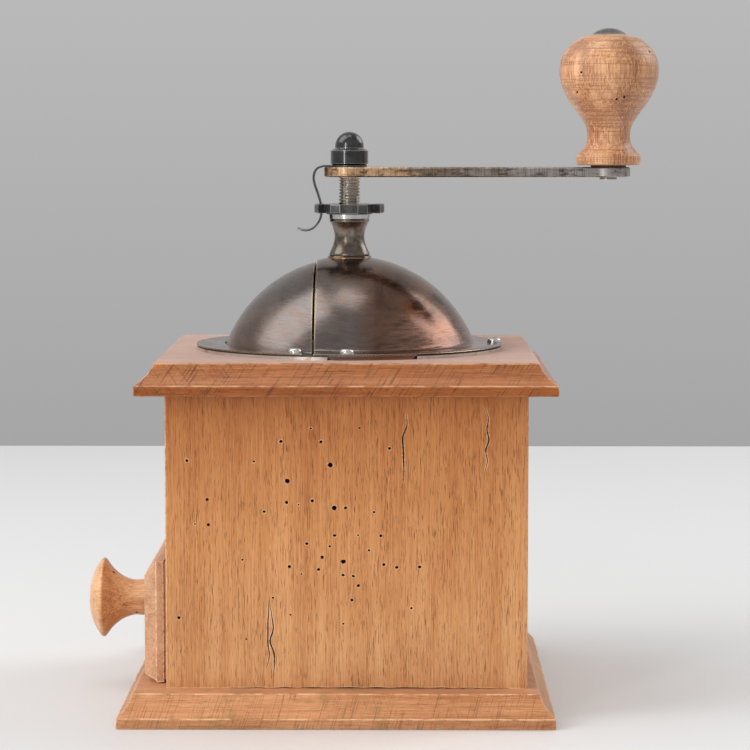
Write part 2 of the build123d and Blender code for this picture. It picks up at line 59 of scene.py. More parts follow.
DOME_CENTRE = 95.7       # height of the centre of the dome's sphere


def span(node):
    """Lowest and highest corner of a CAD node, in millimetres."""
    low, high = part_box(node)
    return low / MM, high / MM


# -------------------------------- materials
class Graph:
    """Short forms for the shader nodes that the materials share. Feature sizes are in millimetres."""

    def __init__(self, name):
        self.material = bpy.data.materials.new(name)
        self.material.use_nodes = True
        self.tree = self.material.node_tree
        self.tree.nodes.clear()
        self.output = self.tree.nodes.new("ShaderNodeOutputMaterial")
        self.shader = self.tree.nodes.new("ShaderNodeBsdfPrincipled")
        self.tree.links.new(self.shader.outputs[0], self.output.inputs[0])
        self.place = self.tree.nodes.new("ShaderNodeTexCoord").outputs["Object"]

    def set(self, **values):
        """Constant numbers straight on the shader's sockets."""
        for key, value in values.items():
            self.shader.inputs[key.replace("_", " ")].default_value = value

    def link(self, socket, name):
        self.tree.links.new(socket, self.shader.inputs[name])

    def noise(self, sizes, detail=3.0, rough=0.55, warp=0.0, turn=(0, 0, 0)):
        """Noise whose features measure the given sizes along the (turned) axes."""
        if isinstance(sizes, (int, float)):
            sizes = (sizes, sizes, sizes)
        mapping = self.tree.nodes.new("ShaderNodeMapping")
        mapping.vector_type = "TEXTURE"
        mapping.inputs["Scale"].default_value = [size * MM for size in sizes]
        mapping.inputs["Rotation"].default_value = turn
        self.tree.links.new(self.place, mapping.inputs["Vector"])
        node = self.tree.nodes.new("ShaderNodeTexNoise")
        self.tree.links.new(mapping.outputs[0], node.inputs["Vector"])
        node.inputs["Scale"].default_value = 1.0
        node.inputs["Detail"].default_value = detail
        node.inputs["Roughness"].default_value = rough
        node.inputs["Distortion"].default_value = warp
        return node.outputs["Fac"]

    def ramp(self, factor, *stops):
        """Colour ramp from (position, colour) stops; a number stands for a grey."""
        node = self.tree.nodes.new("ShaderNodeValToRGB")
        self.tree.links.new(factor, node.inputs[0])
        while len(node.color_ramp.elements) < len(stops):
            node.color_ramp.elements.new(0.5)
        for element, (position, colour) in zip(node.color_ramp.elements, stops):
            element.position = position
            if isinstance(colour, (int, float)):
                colour = (colour, colour, colour)
            element.color = (*colour, 1)
        return node.outputs[0]

    def mix(self, factor, first, second, blend="MIX"):
        """Blend of two colours or sockets."""
        node = self.tree.nodes.new("ShaderNodeMix")
        node.data_type = "RGBA"
        node.blend_type = blend
        for socket, value in ((0, factor), (6, first), (7, second)):
            if isinstance(value, (int, float)):
                node.inputs[socket].default_value = value
            elif isinstance(value, tuple):
                node.inputs[socket].default_value = (*value, 1)
            else:
                self.tree.links.new(value, node.inputs[socket])
        return node.outputs[2]

    def maths(self, operation, first, second=0.0, clamp=False):
        node = self.tree.nodes.new("ShaderNodeMath")
        node.operation = operation
        node.use_clamp = clamp
        for index, value in enumerate((first, second)):
            if isinstance(value, (int, float)):
                node.inputs[index].default_value = value
            else:
                self.tree.links.new(value, node.inputs[index])
        return node.outputs[0]

    def share(self, mask, amount):
        """A mask weakened to a share."""
        return self.maths("MULTIPLY", mask, amount)

    def rise(self, socket, low, high, amount=1.0):
        """A mask that rises from 0 at the low value to the amount at the high one."""
        mask = self.ramp(socket, (low, 0.0), (high, 1.0))
        return mask if amount == 1.0 else self.share(mask, amount)

    def axis(self, letter):
        """One coordinate, in metres."""
        node = self.tree.nodes.new("ShaderNodeSeparateXYZ")
        self.tree.links.new(self.place, node.inputs[0])
        return node.outputs[letter]

    def between(self, socket, low, high):
        """0 at the low value, 1 at the high value, straight between; both in millimetres."""
        node = self.tree.nodes.new("ShaderNodeMapRange")
        node.inputs["From Min"].default_value = low * MM
        node.inputs["From Max"].default_value = high * MM
        self.tree.links.new(socket, node.inputs["Value"])
        return node.outputs[0]

    def upright(self):
        """1 on faces that don't look up, 0 on those that do."""
        geometry = self.tree.nodes.new("ShaderNodeNewGeometry")
        parts = self.tree.nodes.new("ShaderNodeSeparateXYZ")
        self.tree.links.new(geometry.outputs["Normal"], parts.inputs[0])
        return self.ramp(parts.outputs["Z"], (0.90, 1.0), (0.99, 0.0))

    def level_line(self, height, reach):
        """1 at a height on faces that don't look up, 0 further from it than the reach; in millimetres."""
        away = self.maths("ABSOLUTE", self.maths("SUBTRACT", self.axis("Z"), height * MM))
        return self.maths("MULTIPLY", self.between(away, reach, reach * 0.4), self.upright())

    def spot(self, centre, radius, ragged):
        """1 within a radius of a point, with a ragged outline; in millimetres."""
        distance = self.tree.nodes.new("ShaderNodeVectorMath")
        distance.operation = "DISTANCE"
        distance.inputs[1].default_value = [value * MM for value in centre]
        self.tree.links.new(self.place, distance.inputs[0])
        reach = self.maths("ADD", distance.outputs["Value"], self.share(ragged, radius * 2.4 * MM))
        return self.between(reach, radius * 2.3, radius * 2.1)

    def worn(self, radius, low, high):
        """1 on sharp arrises, 0 on open faces."""
        bevel = self.tree.nodes.new("ShaderNodeBevel")
        bevel.samples = 6
        bevel.inputs["Radius"].default_value = radius * MM
        geometry = self.tree.nodes.new("ShaderNodeNewGeometry")
        dot = self.tree.nodes.new("ShaderNodeVectorMath")
        dot.operation = "DOT_PRODUCT"
        self.tree.links.new(bevel.outputs[0], dot.inputs[0])
        self.tree.links.new(geometry.outputs["Normal"], dot.inputs[1])
        edge = self.maths("SUBTRACT", 1.0, dot.outputs["Value"])
        return self.ramp(edge, (low, 0.0), (high, 1.0))

    def bump(self, height, strength, distance):
        node = self.tree.nodes.new("ShaderNodeBump")
        node.inputs["Strength"].default_value = strength
        node.inputs["Distance"].default_value = distance * MM
        self.tree.links.new(height, node.inputs["Height"])
        return node.outputs[0]


def along(axis, across, length):
    """Feature sizes of a grain that runs along one axis."""
    return tuple(length if letter == axis else across for letter in "xyz")


def growth_lines(g, colour, dark, lean, strength):
    """Year rings cut by a plate's edge: thin leaning lines, some the other way, over fine level scores."""
    leaning = g.noise((0.42, 60, 11), 2.0, 0.5, 0.35, (0, lean, 0))
    crossing = g.noise((0.45, 60, 9), 2.0, 0.5, 0.35, (0, -lean * 1.1, 0))
    where = g.ramp(g.noise(30, 2.0, 0.5), (0.5, 0.0), (0.62, 1.0))
    scores = g.noise((20, 20, 0.26), 2.0, 0.6)
    side = g.upright()
    first = g.maths("MULTIPLY", g.rise(leaning, 0.57, 0.64), side)
    second = g.maths("MULTIPLY", g.rise(crossing, 0.57, 0.64), g.maths("MULTIPLY", where, side))
    colour = g.mix(g.share(first, strength), colour, dark)
    colour = g.mix(g.share(second, strength * 0.7), colour, dark)
    colour = g.mix(g.rise(scores, 0.52, 0.64, strength * 0.3), colour, dark)
    return colour, g.maths("SUBTRACT", g.share(scores, -0.4), g.share(first, 0.6))


def wood(name, axis, light, middle, dark, fleck=(0.15, 0.055, 0.022), flecks=0.6, worn_and_lit_to=None, rings=0.0,
         tilt=0.35, rough=0.42, lathe_lines=0.0, patches=None, painted_shade=None, arrises=(), sheen=0.0,
         coat=0.0, stain=None):
    """Beech: long streaks along the grain, short dark flecks, waxed, worn and a little dusty; arrises
    lightened partly by wear, partly as painted highlights; where asked, painted shade that changes with
    height.
    """
    g = Graph(name)
    broad = g.noise(along(axis, 6, 150), 3.0, 0.55, 0.6)
    fine = g.noise(along(axis, 0.5, 20), 3.0, 0.6, 0.4)
    tone = g.maths("ADD", g.share(broad, 0.45), g.share(fine, 0.55))
    colour = g.ramp(tone, (0.36, dark), (0.48, middle), (0.60, light))
    cloud = g.noise(26, 3.0, 0.55, 0.4)
    colour = g.mix(g.rise(cloud, 0.42, 0.68, 0.35), colour, dark)
    height = fine
    if rings:
        colour, height = growth_lines(g, colour, fleck, tilt, rings)
    if lathe_lines:
        turning = g.noise((16, 16, 0.36), 2.0, 0.6)
        colour = g.mix(g.rise(turning, 0.5, 0.62, lathe_lines), colour, dark)
        height = g.maths("ADD", g.share(turning, -0.9), g.share(fine, 0.3))
    dashes = g.noise(along(axis, 0.2, 3.6), 1.0, 0.5, 0.25)
    dense = g.noise(along(axis, 7, 30), 2.0, 0.5)
    mask = g.maths("MULTIPLY", g.rise(dashes, 0.63, 0.68), g.ramp(dense, (0.35, 0.55), (0.6, 1.0)))
    mask = g.share(mask, flecks)
    colour = g.mix(mask, colour, fleck)
    pale = g.noise(along(axis, 0.3, 4.0), 1.0, 0.5, 0.3)
    colour = g.mix(g.rise(pale, 0.58, 0.66, 0.5), colour, light)
    if patches:
        grime = g.maths("ADD", g.share(g.noise(15, 3.0, 0.6, 0.8), 0.75),
                        g.share(g.noise((3, 3, 6), 3.0, 0.6), 0.25))
        colour = g.mix(g.rise(grime, 0.52, 0.60, 0.6), colour, patches)
    if stain:
        smear = g.spot(stain[0], stain[1], g.noise((2.5, 2.5, 4), 4.0, 0.65))
        colour = g.mix(g.share(smear, 0.45), colour, (0.17, 0.09, 0.07))
    # painted shade: the colour is multiplied by a ramp over height, standing in for the light falling off
    # over the piece
    if painted_shade:
        rise = g.between(g.axis("Z"), painted_shade[0], painted_shade[1])
        colour = g.mix(1.0, colour, g.ramp(rise, *painted_shade[2:]), "MULTIPLY")
    # arrises and ledge lines lightened: partly wear, partly painted highlights where the narrow facets catch
    # the light
    if worn_and_lit_to:
        ragged = g.ramp(g.noise((4, 4, 1.2), 3.0, 0.6), (0.40, 0.1), (0.56, 1.0))
        edge = g.worn(0.6, 0.004, 0.05)
        for level in arrises:
            edge = g.maths("MAXIMUM", edge, g.level_line(level, 0.22))
        colour = g.mix(g.share(g.maths("MULTIPLY", edge, ragged), 0.8), colour, worn_and_lit_to)
    g.link(colour, "Base Color")
    gloss = g.maths("ADD", fine, g.share(mask, 0.4))
    g.link(g.ramp(gloss, (0.3, rough - 0.06), (0.9, rough + 0.16)), "Roughness")
    g.link(g.bump(g.maths("SUBTRACT", g.share(height, 0.5), mask), 0.7, 0.16), "Normal")
    g.set(IOR=1.36, Sheen_Weight=sheen, Sheen_Roughness=0.35, Coat_Weight=coat, Coat_Roughness=0.32)
    return g.material


def metal(name, base, tint, rough=0.3, metallic=1.0, patch=14.0, scratch_axis="x", scratches=0.15,
          pits=0.0, spot=None, edge=None, coat=0.0):
    """Worn metal: cloudy tint, fine scratches, pits, and arrises lightened, partly as bare metal, partly as
    painted highlights.
    """
    g = Graph(name)
    cloud = g.noise(patch, 5.0, 0.6, 0.6)
    colour = g.mix(g.rise(cloud, 0.36, 0.66), base, tint)
    if spot:
        rust = g.noise(patch * 0.33, 4.0, 0.65, 0.8)
        colour = g.mix(g.rise(rust, 0.54, 0.68, 0.85), colour, spot)
    # arrises lightened towards the edge colour: partly bare-metal wear, partly painted highlights where the
    # edges catch the light
    if edge:
        colour = g.mix(g.worn(0.35, 0.01, 0.12), colour, edge)
    g.link(colour, "Base Color")
    lines = g.noise(along(scratch_axis, 0.16, 9.0), 4.0, 0.7)
    speck = g.noise(0.4, 3.0, 0.6)
    shine = g.maths("ADD", g.share(lines, scratches), g.share(cloud, 0.16))
    g.link(g.maths("ADD", shine, rough - 0.12, clamp=True), "Roughness")
    height = g.maths("ADD", g.share(lines, scratches), g.share(speck, pits))
    g.link(g.bump(height, 0.35, 0.03), "Normal")
    g.set(Metallic=metallic, Coat_Weight=coat, Coat_Roughness=0.08)
    return g.material


def knob_stain(dice):
    """A place somewhere on the swell of the crank knob."""
    low, high = span("crank_knob")
    reach = (high.x - low.x) / 2 * 0.95
    turn, rise = dice.uniform(0, TURN), dice.uniform(0.5, 0.75)
    return ((low.x + high.x) / 2 + reach * math.cos(turn), reach * math.sin(turn),
            low.z + (high.z - low.z) * rise)


def dome_stains(count, dice):
    """Places scattered over the fixed half of the dome, well above its foot."""
    reach = span("dome_shell")[1].z - DOME_CENTRE
    for _ in range(count):
        turn, rise = dice.uniform(-TURN / 4, TURN / 4), dice.uniform(0.4, 1.0)
        out = reach * math.cos(rise)
        yield (out * math.cos(turn), out * math.sin(turn), DOME_CENTRE + reach * math.sin(rise))


def dome_copper():
    """Antique copper: glossy brown patina, rubbed grey on the hatch side, pink and stained on the other."""
    g = Graph("dome_copper")
    cloud = g.noise((22, 22, 13), 6.0, 0.62, 0.9)
    colour = g.ramp(cloud, (0.36, (0.090, 0.050, 0.034)), (0.5, (0.165, 0.095, 0.066)),
                    (0.66, (0.24, 0.155, 0.115)))
    warm = g.noise((16, 22, 9), 5.0, 0.65, 1.4, (0.4, 0.5, 0))
    colour = g.mix(g.rise(warm, 0.48, 0.62, 0.6), colour, (0.27, 0.125, 0.062))
    side = g.maths("MULTIPLY", g.between(g.axis("X"), 9, 1), g.between(g.axis("X"), -36, -24))
    low_down = g.between(g.axis("Z"), 136.5, 131)
    rub = g.noise((5, 8, 1.0), 5.0, 0.68, 0.6, (0, 0.25, 0))
    rubbed = g.maths("MULTIPLY", g.ramp(rub, (0.32, 0.45), (0.60, 1.0)), g.maths("MULTIPLY", side, low_down))
    colour = g.mix(g.share(rubbed, 0.85), colour, (0.195, 0.180, 0.175))
    strokes = g.noise((4.5, 4.5, 0.42), 4.0, 0.68, 0.3)
    blush = g.maths("MULTIPLY", g.between(g.axis("X"), 9, 17), g.between(g.axis("Z"), 124, 117))
    blush = g.maths("MULTIPLY", blush, g.rise(strokes, 0.42, 0.54))
    colour = g.mix(g.share(blush, 0.6), colour, (0.36, 0.185, 0.145))
    for place in dome_stains(3, random.Random(3)):
        stain = g.spot(place, 2.4, g.noise(2.4, 3.0, 0.6, 0.6))
        colour = g.mix(g.share(stain, 0.85), colour, (0.062, 0.030, 0.020))
    # arrises lightened: partly worn copper, partly a painted highlight along the cut and rolled edges
    colour = g.mix(g.worn(0.4, 0.02, 0.2), colour, (0.80, 0.62, 0.42))
    g.link(colour, "Base Color")
    gloss = g.maths("ADD", g.share(cloud, 0.45), g.share(strokes, 0.55))
    g.link(g.ramp(gloss, (0.35, 0.13), (0.65, 0.34)), "Roughness")
    dents = g.noise((2.2, 2.2, 0.8), 4.0, 0.6)
    g.link(g.bump(g.maths("ADD", g.share(strokes, 0.5), g.share(dents, 0.5)), 0.3, 0.07), "Normal")
    g.set(Metallic=1.0, Coat_Weight=0.15, Coat_Roughness=0.06)
    return g.material


def crank_metal():
    """Flat bar: coppery by the hub, grey by the knob, with file marks up its edges."""
    g = Graph("crank_metal")
    run = g.between(g.axis("X"), 0, 82)
    cloud = g.noise((7, 3.5, 3.5), 5.0, 0.6, 0.5)
    blend = g.maths("ADD", run, g.share(g.maths("SUBTRACT", cloud, 0.5), 1.2))
    colour = g.ramp(blend, (0.1, (0.76, 0.47, 0.27)), (0.35, (0.24, 0.175, 0.13)), (0.7, (0.40, 0.37, 0.35)))
    marks = g.noise((0.42, 4, 16), 3.0, 0.7)
    filed = g.maths("MULTIPLY", g.rise(marks, 0.48, 0.60), g.between(g.axis("X"), 82, 74))
    colour = g.mix(g.share(filed, 0.5), colour, (0.05, 0.04, 0.034))
    dirt = g.noise((4, 2, 1.2), 4.0, 0.7)
    colour = g.mix(g.rise(dirt, 0.5, 0.64, 0.8), colour, (0.045, 0.035, 0.028))
    # arrises lightened: partly worn metal, partly painted highlights along the bar's edges
    colour = g.mix(g.worn(0.3, 0.01, 0.12), colour, (0.60, 0.46, 0.36))
    g.link(colour, "Base Color")
    g.link(g.ramp(marks, (0.3, 0.22), (0.7, 0.5)), "Roughness")
    g.link(g.bump(marks, 0.5, 0.1), "Normal")
    g.set(Metallic=1.0)
    return g.material


def plain_dark(name, colour):
    """The inside of worm holes and joints: near-black painted shade for the dark of the recess, mottled like
    dust.
    """
    g = Graph(name)
    dust = g.noise(0.7, 3.0, 0.6)
    g.link(g.ramp(dust, (0.3, tuple(c * 0.5 for c in colour)), (0.7, colour)), "Base Color")
    g.set(Roughness=0.95)
    return g.material


top_edge, base_edge = span("top_plate"), span("base_plate")
# painted shade: the body darkens and loses blue towards the top, under the top plate's overhang, and stays
# light low down where the floor's light falls
body_wood = wood("body_beech", "z", (0.71, 0.375, 0.168), (0.61, 0.29, 0.117), (0.48, 0.195, 0.068),
                 fleck=(0.20, 0.07, 0.025), flecks=0.8, worn_and_lit_to=(0.95, 0.62, 0.38),
                 painted_shade=(15, 95, (0.0, (1.0, 1.0, 1.0)), (0.5, (0.95, 0.86, 0.75)), (1.0, (0.73, 0.54, 0.36))))
# painted shade on the front band, which is darkened and loses blue, and painted light on the cove, which is
# lightened where it turns up to the light
plate_wood = wood("plate_beech", "x", (0.46, 0.18, 0.065), (0.37, 0.126, 0.038), (0.25, 0.07, 0.018),
                  fleck=(0.11, 0.034, 0.012), flecks=0.5, worn_and_lit_to=(0.76, 0.42, 0.22), rings=0.75, tilt=0.6,
                  painted_shade=(top_edge[0].z + 2.6, top_edge[0].z + 4.0, (0.0, (0.78, 0.60, 0.34)),
                         (1.0, (1.08, 1.12, 1.25))),
                  arrises=(top_edge[0].z + 3.1, top_edge[1].z - 0.25), sheen=0.42)
# painted shade: the base's band is a little darker than its cove, which turns up to the light
base_wood = wood("base_beech", "x", (0.66, 0.315, 0.15), (0.55, 0.238, 0.10), (0.40, 0.145, 0.052),
                 fleck=(0.18, 0.07, 0.03), flecks=0.5, worn_and_lit_to=(0.90, 0.56, 0.32), rings=0.5, tilt=0.3,
                 patches=(0.36, 0.19, 0.07), sheen=0.1,
                 painted_shade=(2.6, 4.0, (0.0, (0.90, 0.90, 0.88)), (1.0, (1.04, 1.04, 1.02))),
                 arrises=(3.1, base_edge[1].z - 0.25))
# the drawer's arrises are lightened partly by wear, partly as painted highlights
drawer_wood = wood("drawer_beech", "y", (0.64, 0.375, 0.225), (0.55, 0.29, 0.155), (0.38, 0.165, 0.08),
                   fleck=(0.22, 0.10, 0.055), flecks=0.6, worn_and_lit_to=(0.95, 0.64, 0.42), rings=0.2)
knob_wood = wood("knob_beech", "z", (0.84, 0.48, 0.26), (0.60, 0.285, 0.13), (0.26, 0.095, 0.038),
                 fleck=(0.15, 0.06, 0.03), flecks=0.6, rough=0.34, lathe_lines=0.65,
                 patches=(0.36, 0.165, 0.095),
                 sheen=0.15, coat=0.3,
                 stain=(knob_stain(random.Random(13)), 2.7))
pull_wood = wood("pull_beech", "x", (0.86, 0.54, 0.31), (0.68, 0.36, 0.165), (0.36, 0.135, 0.046),
                 fleck=(0.20, 0.08, 0.03), flecks=0.6, rough=0.32, patches=(0.50, 0.21, 0.08), sheen=0.1,
                 coat=0.1)
raw_wood = wood("raw_beech", "x", (0.62, 0.41, 0.25), (0.52, 0.33, 0.19), (0.40, 0.24, 0.13),
                flecks=0.35, rough=0.62)
copper = dome_copper()
arm_metal = crank_metal()
bright = metal("bright_steel", (0.80, 0.77, 0.72), (0.68, 0.62, 0.56), rough=0.26, spot=(0.42, 0.30, 0.22))
polished = metal("polished_steel", (0.80, 0.79, 0.77), (0.62, 0.6, 0.58), rough=0.2, patch=6,
                 spot=(0.3, 0.26, 0.22))
bush_metal = metal("bush_metal", (0.26, 0.225, 0.19), (0.11, 0.085, 0.068), rough=0.26, patch=4, pits=0.5,
                   spot=(0.09, 0.05, 0.03), edge=(0.62, 0.54, 0.42))
# the edge colours of the black steel, the nut and the cap are painted highlights on their arrises, over some
# bare-metal wear
black_metal = metal("black_steel", (0.06, 0.06, 0.062), (0.12, 0.115, 0.11), rough=0.38, metallic=0.85,
                    patch=3, spot=(0.12, 0.115, 0.11), edge=(0.42, 0.40, 0.38), coat=0.5)
nut_metal = metal("nut_steel", (0.025, 0.025, 0.027), (0.06, 0.059, 0.058), rough=0.2, patch=4,
                  spot=(0.02, 0.019, 0.018), edge=(0.55, 0.54, 0.52), coat=1.0)
cap_metal = metal("cap_steel", (0.20, 0.19, 0.175), (0.32, 0.30, 0.27), rough=0.24, patch=3,
                  edge=(0.8, 0.76, 0.7))
clip_metal = metal("clip_steel", (0.10, 0.10, 0.105), (0.055, 0.052, 0.05), rough=0.3, patch=4,
                   edge=(0.4, 0.4, 0.4))
thread_metal = metal("thread_steel", (0.68, 0.63, 0.56), (0.42, 0.38, 0.33), rough=0.24, patch=4,
                     spot=(0.13, 0.10, 0.075), edge=(0.85, 0.83, 0.8))
dark_steel = metal("dark_steel", (0.13, 0.125, 0.12), (0.075, 0.07, 0.066), rough=0.42, pits=0.3)
tin = metal("tinned_sheet", (0.62, 0.61, 0.58), (0.46, 0.44, 0.41), rough=0.34, patch=18)
iron = metal("cast_iron", (0.12, 0.12, 0.12), (0.075, 0.072, 0.07), rough=0.6, metallic=0.9, patch=8,
             pits=1.2)
spring_steel = metal("spring_wire", (0.38, 0.37, 0.36), (0.22, 0.21, 0.2), rough=0.3)
# painted shade: near-black walls for the dark inside the holes and cracks
hole_dark = plain_dark("hole_dust_and_shade", (0.045, 0.02, 0.009))


# -------------------------------- mesh tools
def add_object(name, data):
    """A new object in the scene."""
    added = bpy.data.objects.new(name, data)
    bpy.context.scene.collection.objects.link(added)
    return added


def finish_piece(name, mesh, body, stands_for, material, smooth=True):
    """Link a finished mesh as a piece that rides on a CAD body, if one is given, and stands for CAD nodes."""
    piece = add_object(name, mesh)
    mesh.materials.append(material)
    for polygon in mesh.polygons:
        polygon.use_smooth = smooth
    if body:
        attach(piece, body)
    if stands_for:
        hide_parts(*stands_for)
    return piece


def weld(bm):
    """Join doubled vertices and turn the faces outward."""
    bmesh.ops.remove_doubles(bm, verts=bm.verts, dist=1e-6)
    bmesh.ops.recalc_face_normals(bm, faces=bm.faces)


def mesh_of(bm, name):
    """A mesh from a bmesh, welded and with its faces turned outward."""
    weld(bm)
    mesh = bpy.data.meshes.new(name)
    bm.to_mesh(mesh)
    bm.free()
    return mesh


def sharpen(piece, angle=35):
    """Hard edges where faces meet at more than the angle."""
    bm = bmesh.new()
    bm.from_mesh(piece.data)
    for edge in bm.edges:
        if len(edge.link_faces) == 2 and edge.calc_face_angle(0) > math.radians(angle):
            edge.smooth = False
    bm.to_mesh(piece.data)
    bm.free()
    return piece


def bridge(bm, first, second, closed=True):
    """Faces between two rows of vertices of equal length."""
    count = len(first)
    for i in range(count if closed else count - 1):
        j = (i + 1) % count
        bm.faces.new((first[i], first[j], second[j], second[i]))


def skin(bm, rows):
    """Faces along rows of vertices, closed at both ends."""
    for a, b in zip(rows, rows[1:]):
        bridge(bm, a, b)
    bm.faces.new(rows[0][::-1])
    bm.faces.new(rows[-1])


def around(a0, a1, b0, b1, across, up):
    """Evenly spaced (a, b) points round a rectangle."""
    points = [(a0 + (a1 - a0) * i / across, b0) for i in range(across)]
    points += [(a1, b0 + (b1 - b0) * i / up) for i in range(up)]
    points += [(a1 - (a1 - a0) * i / across, b1) for i in range(across)]
    points += [(a0, b1 - (b1 - b0) * i / up) for i in range(up)]
    return points


def curve_through(points, steps=8):
    """A smooth line through a few points."""
    line = []
    ends = [points[0], *points, points[-1]]
    for i in range(1, len(ends) - 2):
        p0, p1, p2, p3 = (Vector(ends[i + k]) for k in (-1, 0, 1, 2))
        for s in range(steps):
            t = s / steps
            line.append(0.5 * (2 * p1 + (p2 - p0) * t + (2 * p0 - 5 * p1 + 4 * p2 - p3) * t * t
                               + (3 * p1 - p0 - 3 * p2 + p3) * t * t * t))
    line.append(Vector(points[-1]))
    return line


def lathe(profile, segments=96, place=None, wobble=0.0, seed=0):
    """Turn (radius, height) points about Z, then move the result by a matrix."""
    bm = bmesh.new()
    rows = []
    for radius, height in profile:
        if radius < 1e-4:
            rows.append([bm.verts.new((0, 0, height * MM))])
            continue
        row = []
        for s in range(segments):
            angle = s * TURN / segments
            across = Vector((math.cos(angle), math.sin(angle), 0))
            r = radius
            if wobble:
                here = Vector((across.x * 2 + seed, across.y * 2, height * 0.12))
                r += wobble * noise.noise(here)
            row.append(bm.verts.new(across * (r * MM) + Vector((0, 0, height * MM))))
        rows.append(row)
    for a, b in zip(rows, rows[1:]):
        if len(a) == 1 and len(b) == 1:
            continue
        if len(a) == 1 or len(b) == 1:
            tip, row = (a[0], b) if len(a) == 1 else (b[0], a)
            for i in range(segments):
                bm.faces.new((tip, row[i], row[(i + 1) % segments]))
        else:
            bridge(bm, a, b)
    if place:
        bmesh.ops.transform(bm, matrix=place, verts=bm.verts)
    return bm


def radius_at(profile, height):
    """The radius of a turned outline at a height."""
    for (r0, h0), (r1, h1) in zip(profile, profile[1:]):
        if min(h0, h1) <= height <= max(h0, h1) and abs(h1 - h0) > 1e-6:
            return r0 + (r1 - r0) * (height - h0) / (h1 - h0)
    raise ValueError("the outline doesn't reach that height")


def carve(piece, cutter_bm, inside=None):
    """Cut the closed shapes in a bmesh out of a piece, giving the cut its own finish."""
    mesh = mesh_of(cutter_bm, piece.name + "_cut")
    if inside:
        mesh.materials.append(inside)
    cutter = add_object(piece.name + "_cutter", mesh)
    step = piece.modifiers.new("carve", "BOOLEAN")
    step.operation = "DIFFERENCE"
    step.solver = "EXACT"
    step.use_self = True
    step.material_mode = "TRANSFER"
    step.object = cutter
    bpy.context.view_layer.update()
    carved = bpy.data.meshes.new_from_object(piece.evaluated_get(bpy.context.evaluated_depsgraph_get()))
    piece.modifiers.remove(step)
    old = piece.data
    piece.data = carved
    bpy.data.meshes.remove(old)
    bpy.data.objects.remove(cutter)
    bpy.data.meshes.remove(mesh)
    return piece


def add_hole(bm, point, inward, radius, depth, dice):
    """A ragged worm hole: a small tapering tube that starts outside the surface."""
    axis = (Vector(inward) + Vector([dice.uniform(-0.25, 0.25) for _ in range(3)])).normalized()
    turn = axis.to_track_quat("Z", "Y").to_matrix()
    sides = 9
    squeeze = dice.uniform(0.75, 1.0)
    phase = dice.uniform(0, TURN)
    rows = []
    for distance, grow in ((-0.6, 1.25), (0.0, 1.15), (0.25, 0.95), (depth * 0.6, 0.85), (depth, 0.4)):
        row = []
        for s in range(sides):
            angle = phase + s * TURN / sides
            r = radius * grow * dice.uniform(0.84, 1.12)
            local = Vector((r * math.cos(angle), r * squeeze * math.sin(angle), distance))
            row.append(bm.verts.new((Vector(point) + turn @ local) * MM))
        rows.append(row)
    for a, b in zip(rows, rows[1:]):
        bridge(bm, a, b)
    bm.faces.new(rows[0])
    bm.faces.new(rows[-1][::-1])


def add_crack(bm, points, inward, width, depth):
    """A wedge-shaped groove that follows a line of points and dies out at both ends."""
    inward = Vector(inward)
    line = curve_through(points, 4)
    rows = []
    for i, point in enumerate(line):
        ahead = (line[min(i + 1, len(line) - 1)] - line[max(i - 1, 0)]).normalized()
        side = ahead.cross(inward).normalized()
        fade = math.sin(math.pi * (i + 0.35) / (len(line) - 0.3))
        half = width / 2 * (0.35 + 0.65 * fade)
        deep = depth * (0.25 + 0.75 * fade)
        corners = (point - inward * 0.3 + side * half * 1.2, point - inward * 0.3 - side * half * 1.2,
                   point - side * half * 0.3 + inward * deep, point + side * half * 0.3 + inward * deep)
        rows.append([bm.verts.new(c * MM) for c in corners])
    skin(bm, rows)


def board(low, high, ease, name):
    """A board between two corners, with its upright arrises eased."""
    bm = bmesh.new()
    bmesh.ops.create_cube(bm, size=1)
    centre, size = (low + high) / 2, high - low
    for vert in bm.verts:
        vert.co = Vector([centre[k] + vert.co[k] * size[k] for k in range(3)]) * MM
    upright = [e for e in bm.edges if abs(e.verts[0].co.z - e.verts[1].co.z) > 1e-4]
    bmesh.ops.bevel(bm, geom=upright, offset=ease * MM, segments=3, profile=0.5, affect="EDGES")
    return mesh_of(bm, name)


# -------------------------------- body boards
HOLE_RADII = (0.72, 0.48, 0.48, 0.48, 0.36, 0.36, 0.27)
INFESTED_AREAS = {"body_front": 6, "body_back": 3, "body_right": 2, "body_left": 2}
CRACKS_AT_EACH_END = 2
HOLE_GAP = 3.0


def worm_holes(bm, low, high, axis, side, areas, dice):
    """Worm holes scattered round a few infested areas of a board."""
    across = 1 - axis
    inward = [0, 0, 0]
    inward[axis] = -side
    found = []
    for _ in range(areas):
        middle = dice.uniform(low[across] + 12, high[across] - 12)
        centre = Vector((middle, dice.uniform(low.z + 12, high.z - 12)))
        for _ in range(dice.randint(6, 11)):
            spot = centre + Vector((dice.gauss(0, 11), dice.gauss(0, 9)))
            spot.x = min(max(spot.x, low[across] + 4), high[across] - 4)
            spot.y = min(max(spot.y, low.z + 4), high.z - 3)
            if any((spot - other).length < HOLE_GAP for other in found):
                continue
            found.append(spot)
            point = [0, 0, spot.y]
            point[across] = spot.x
            point[axis] = high[axis] if side > 0 else low[axis]
            add_hole(bm, point, inward, dice.choice(HOLE_RADII), dice.uniform(2.0, 3.2), dice)


def body_board(node, axis, side, seed):
    """A board of the box, with worm holes, and drying cracks in the front one."""
    low, high = span(node)
    dice = random.Random(seed)
    cuts = bmesh.new()
    worm_holes(cuts, low, high, axis, side, INFESTED_AREAS[node], dice)
    if node == "body_front":
        drying_cracks(cuts, low, high, dice)
    piece = finish_piece(node + "_board", board(low, high, 0.45, node + "_board"), "mill_box",
                         [node], body_wood, smooth=False)
    return carve(piece, cuts, hole_dark)


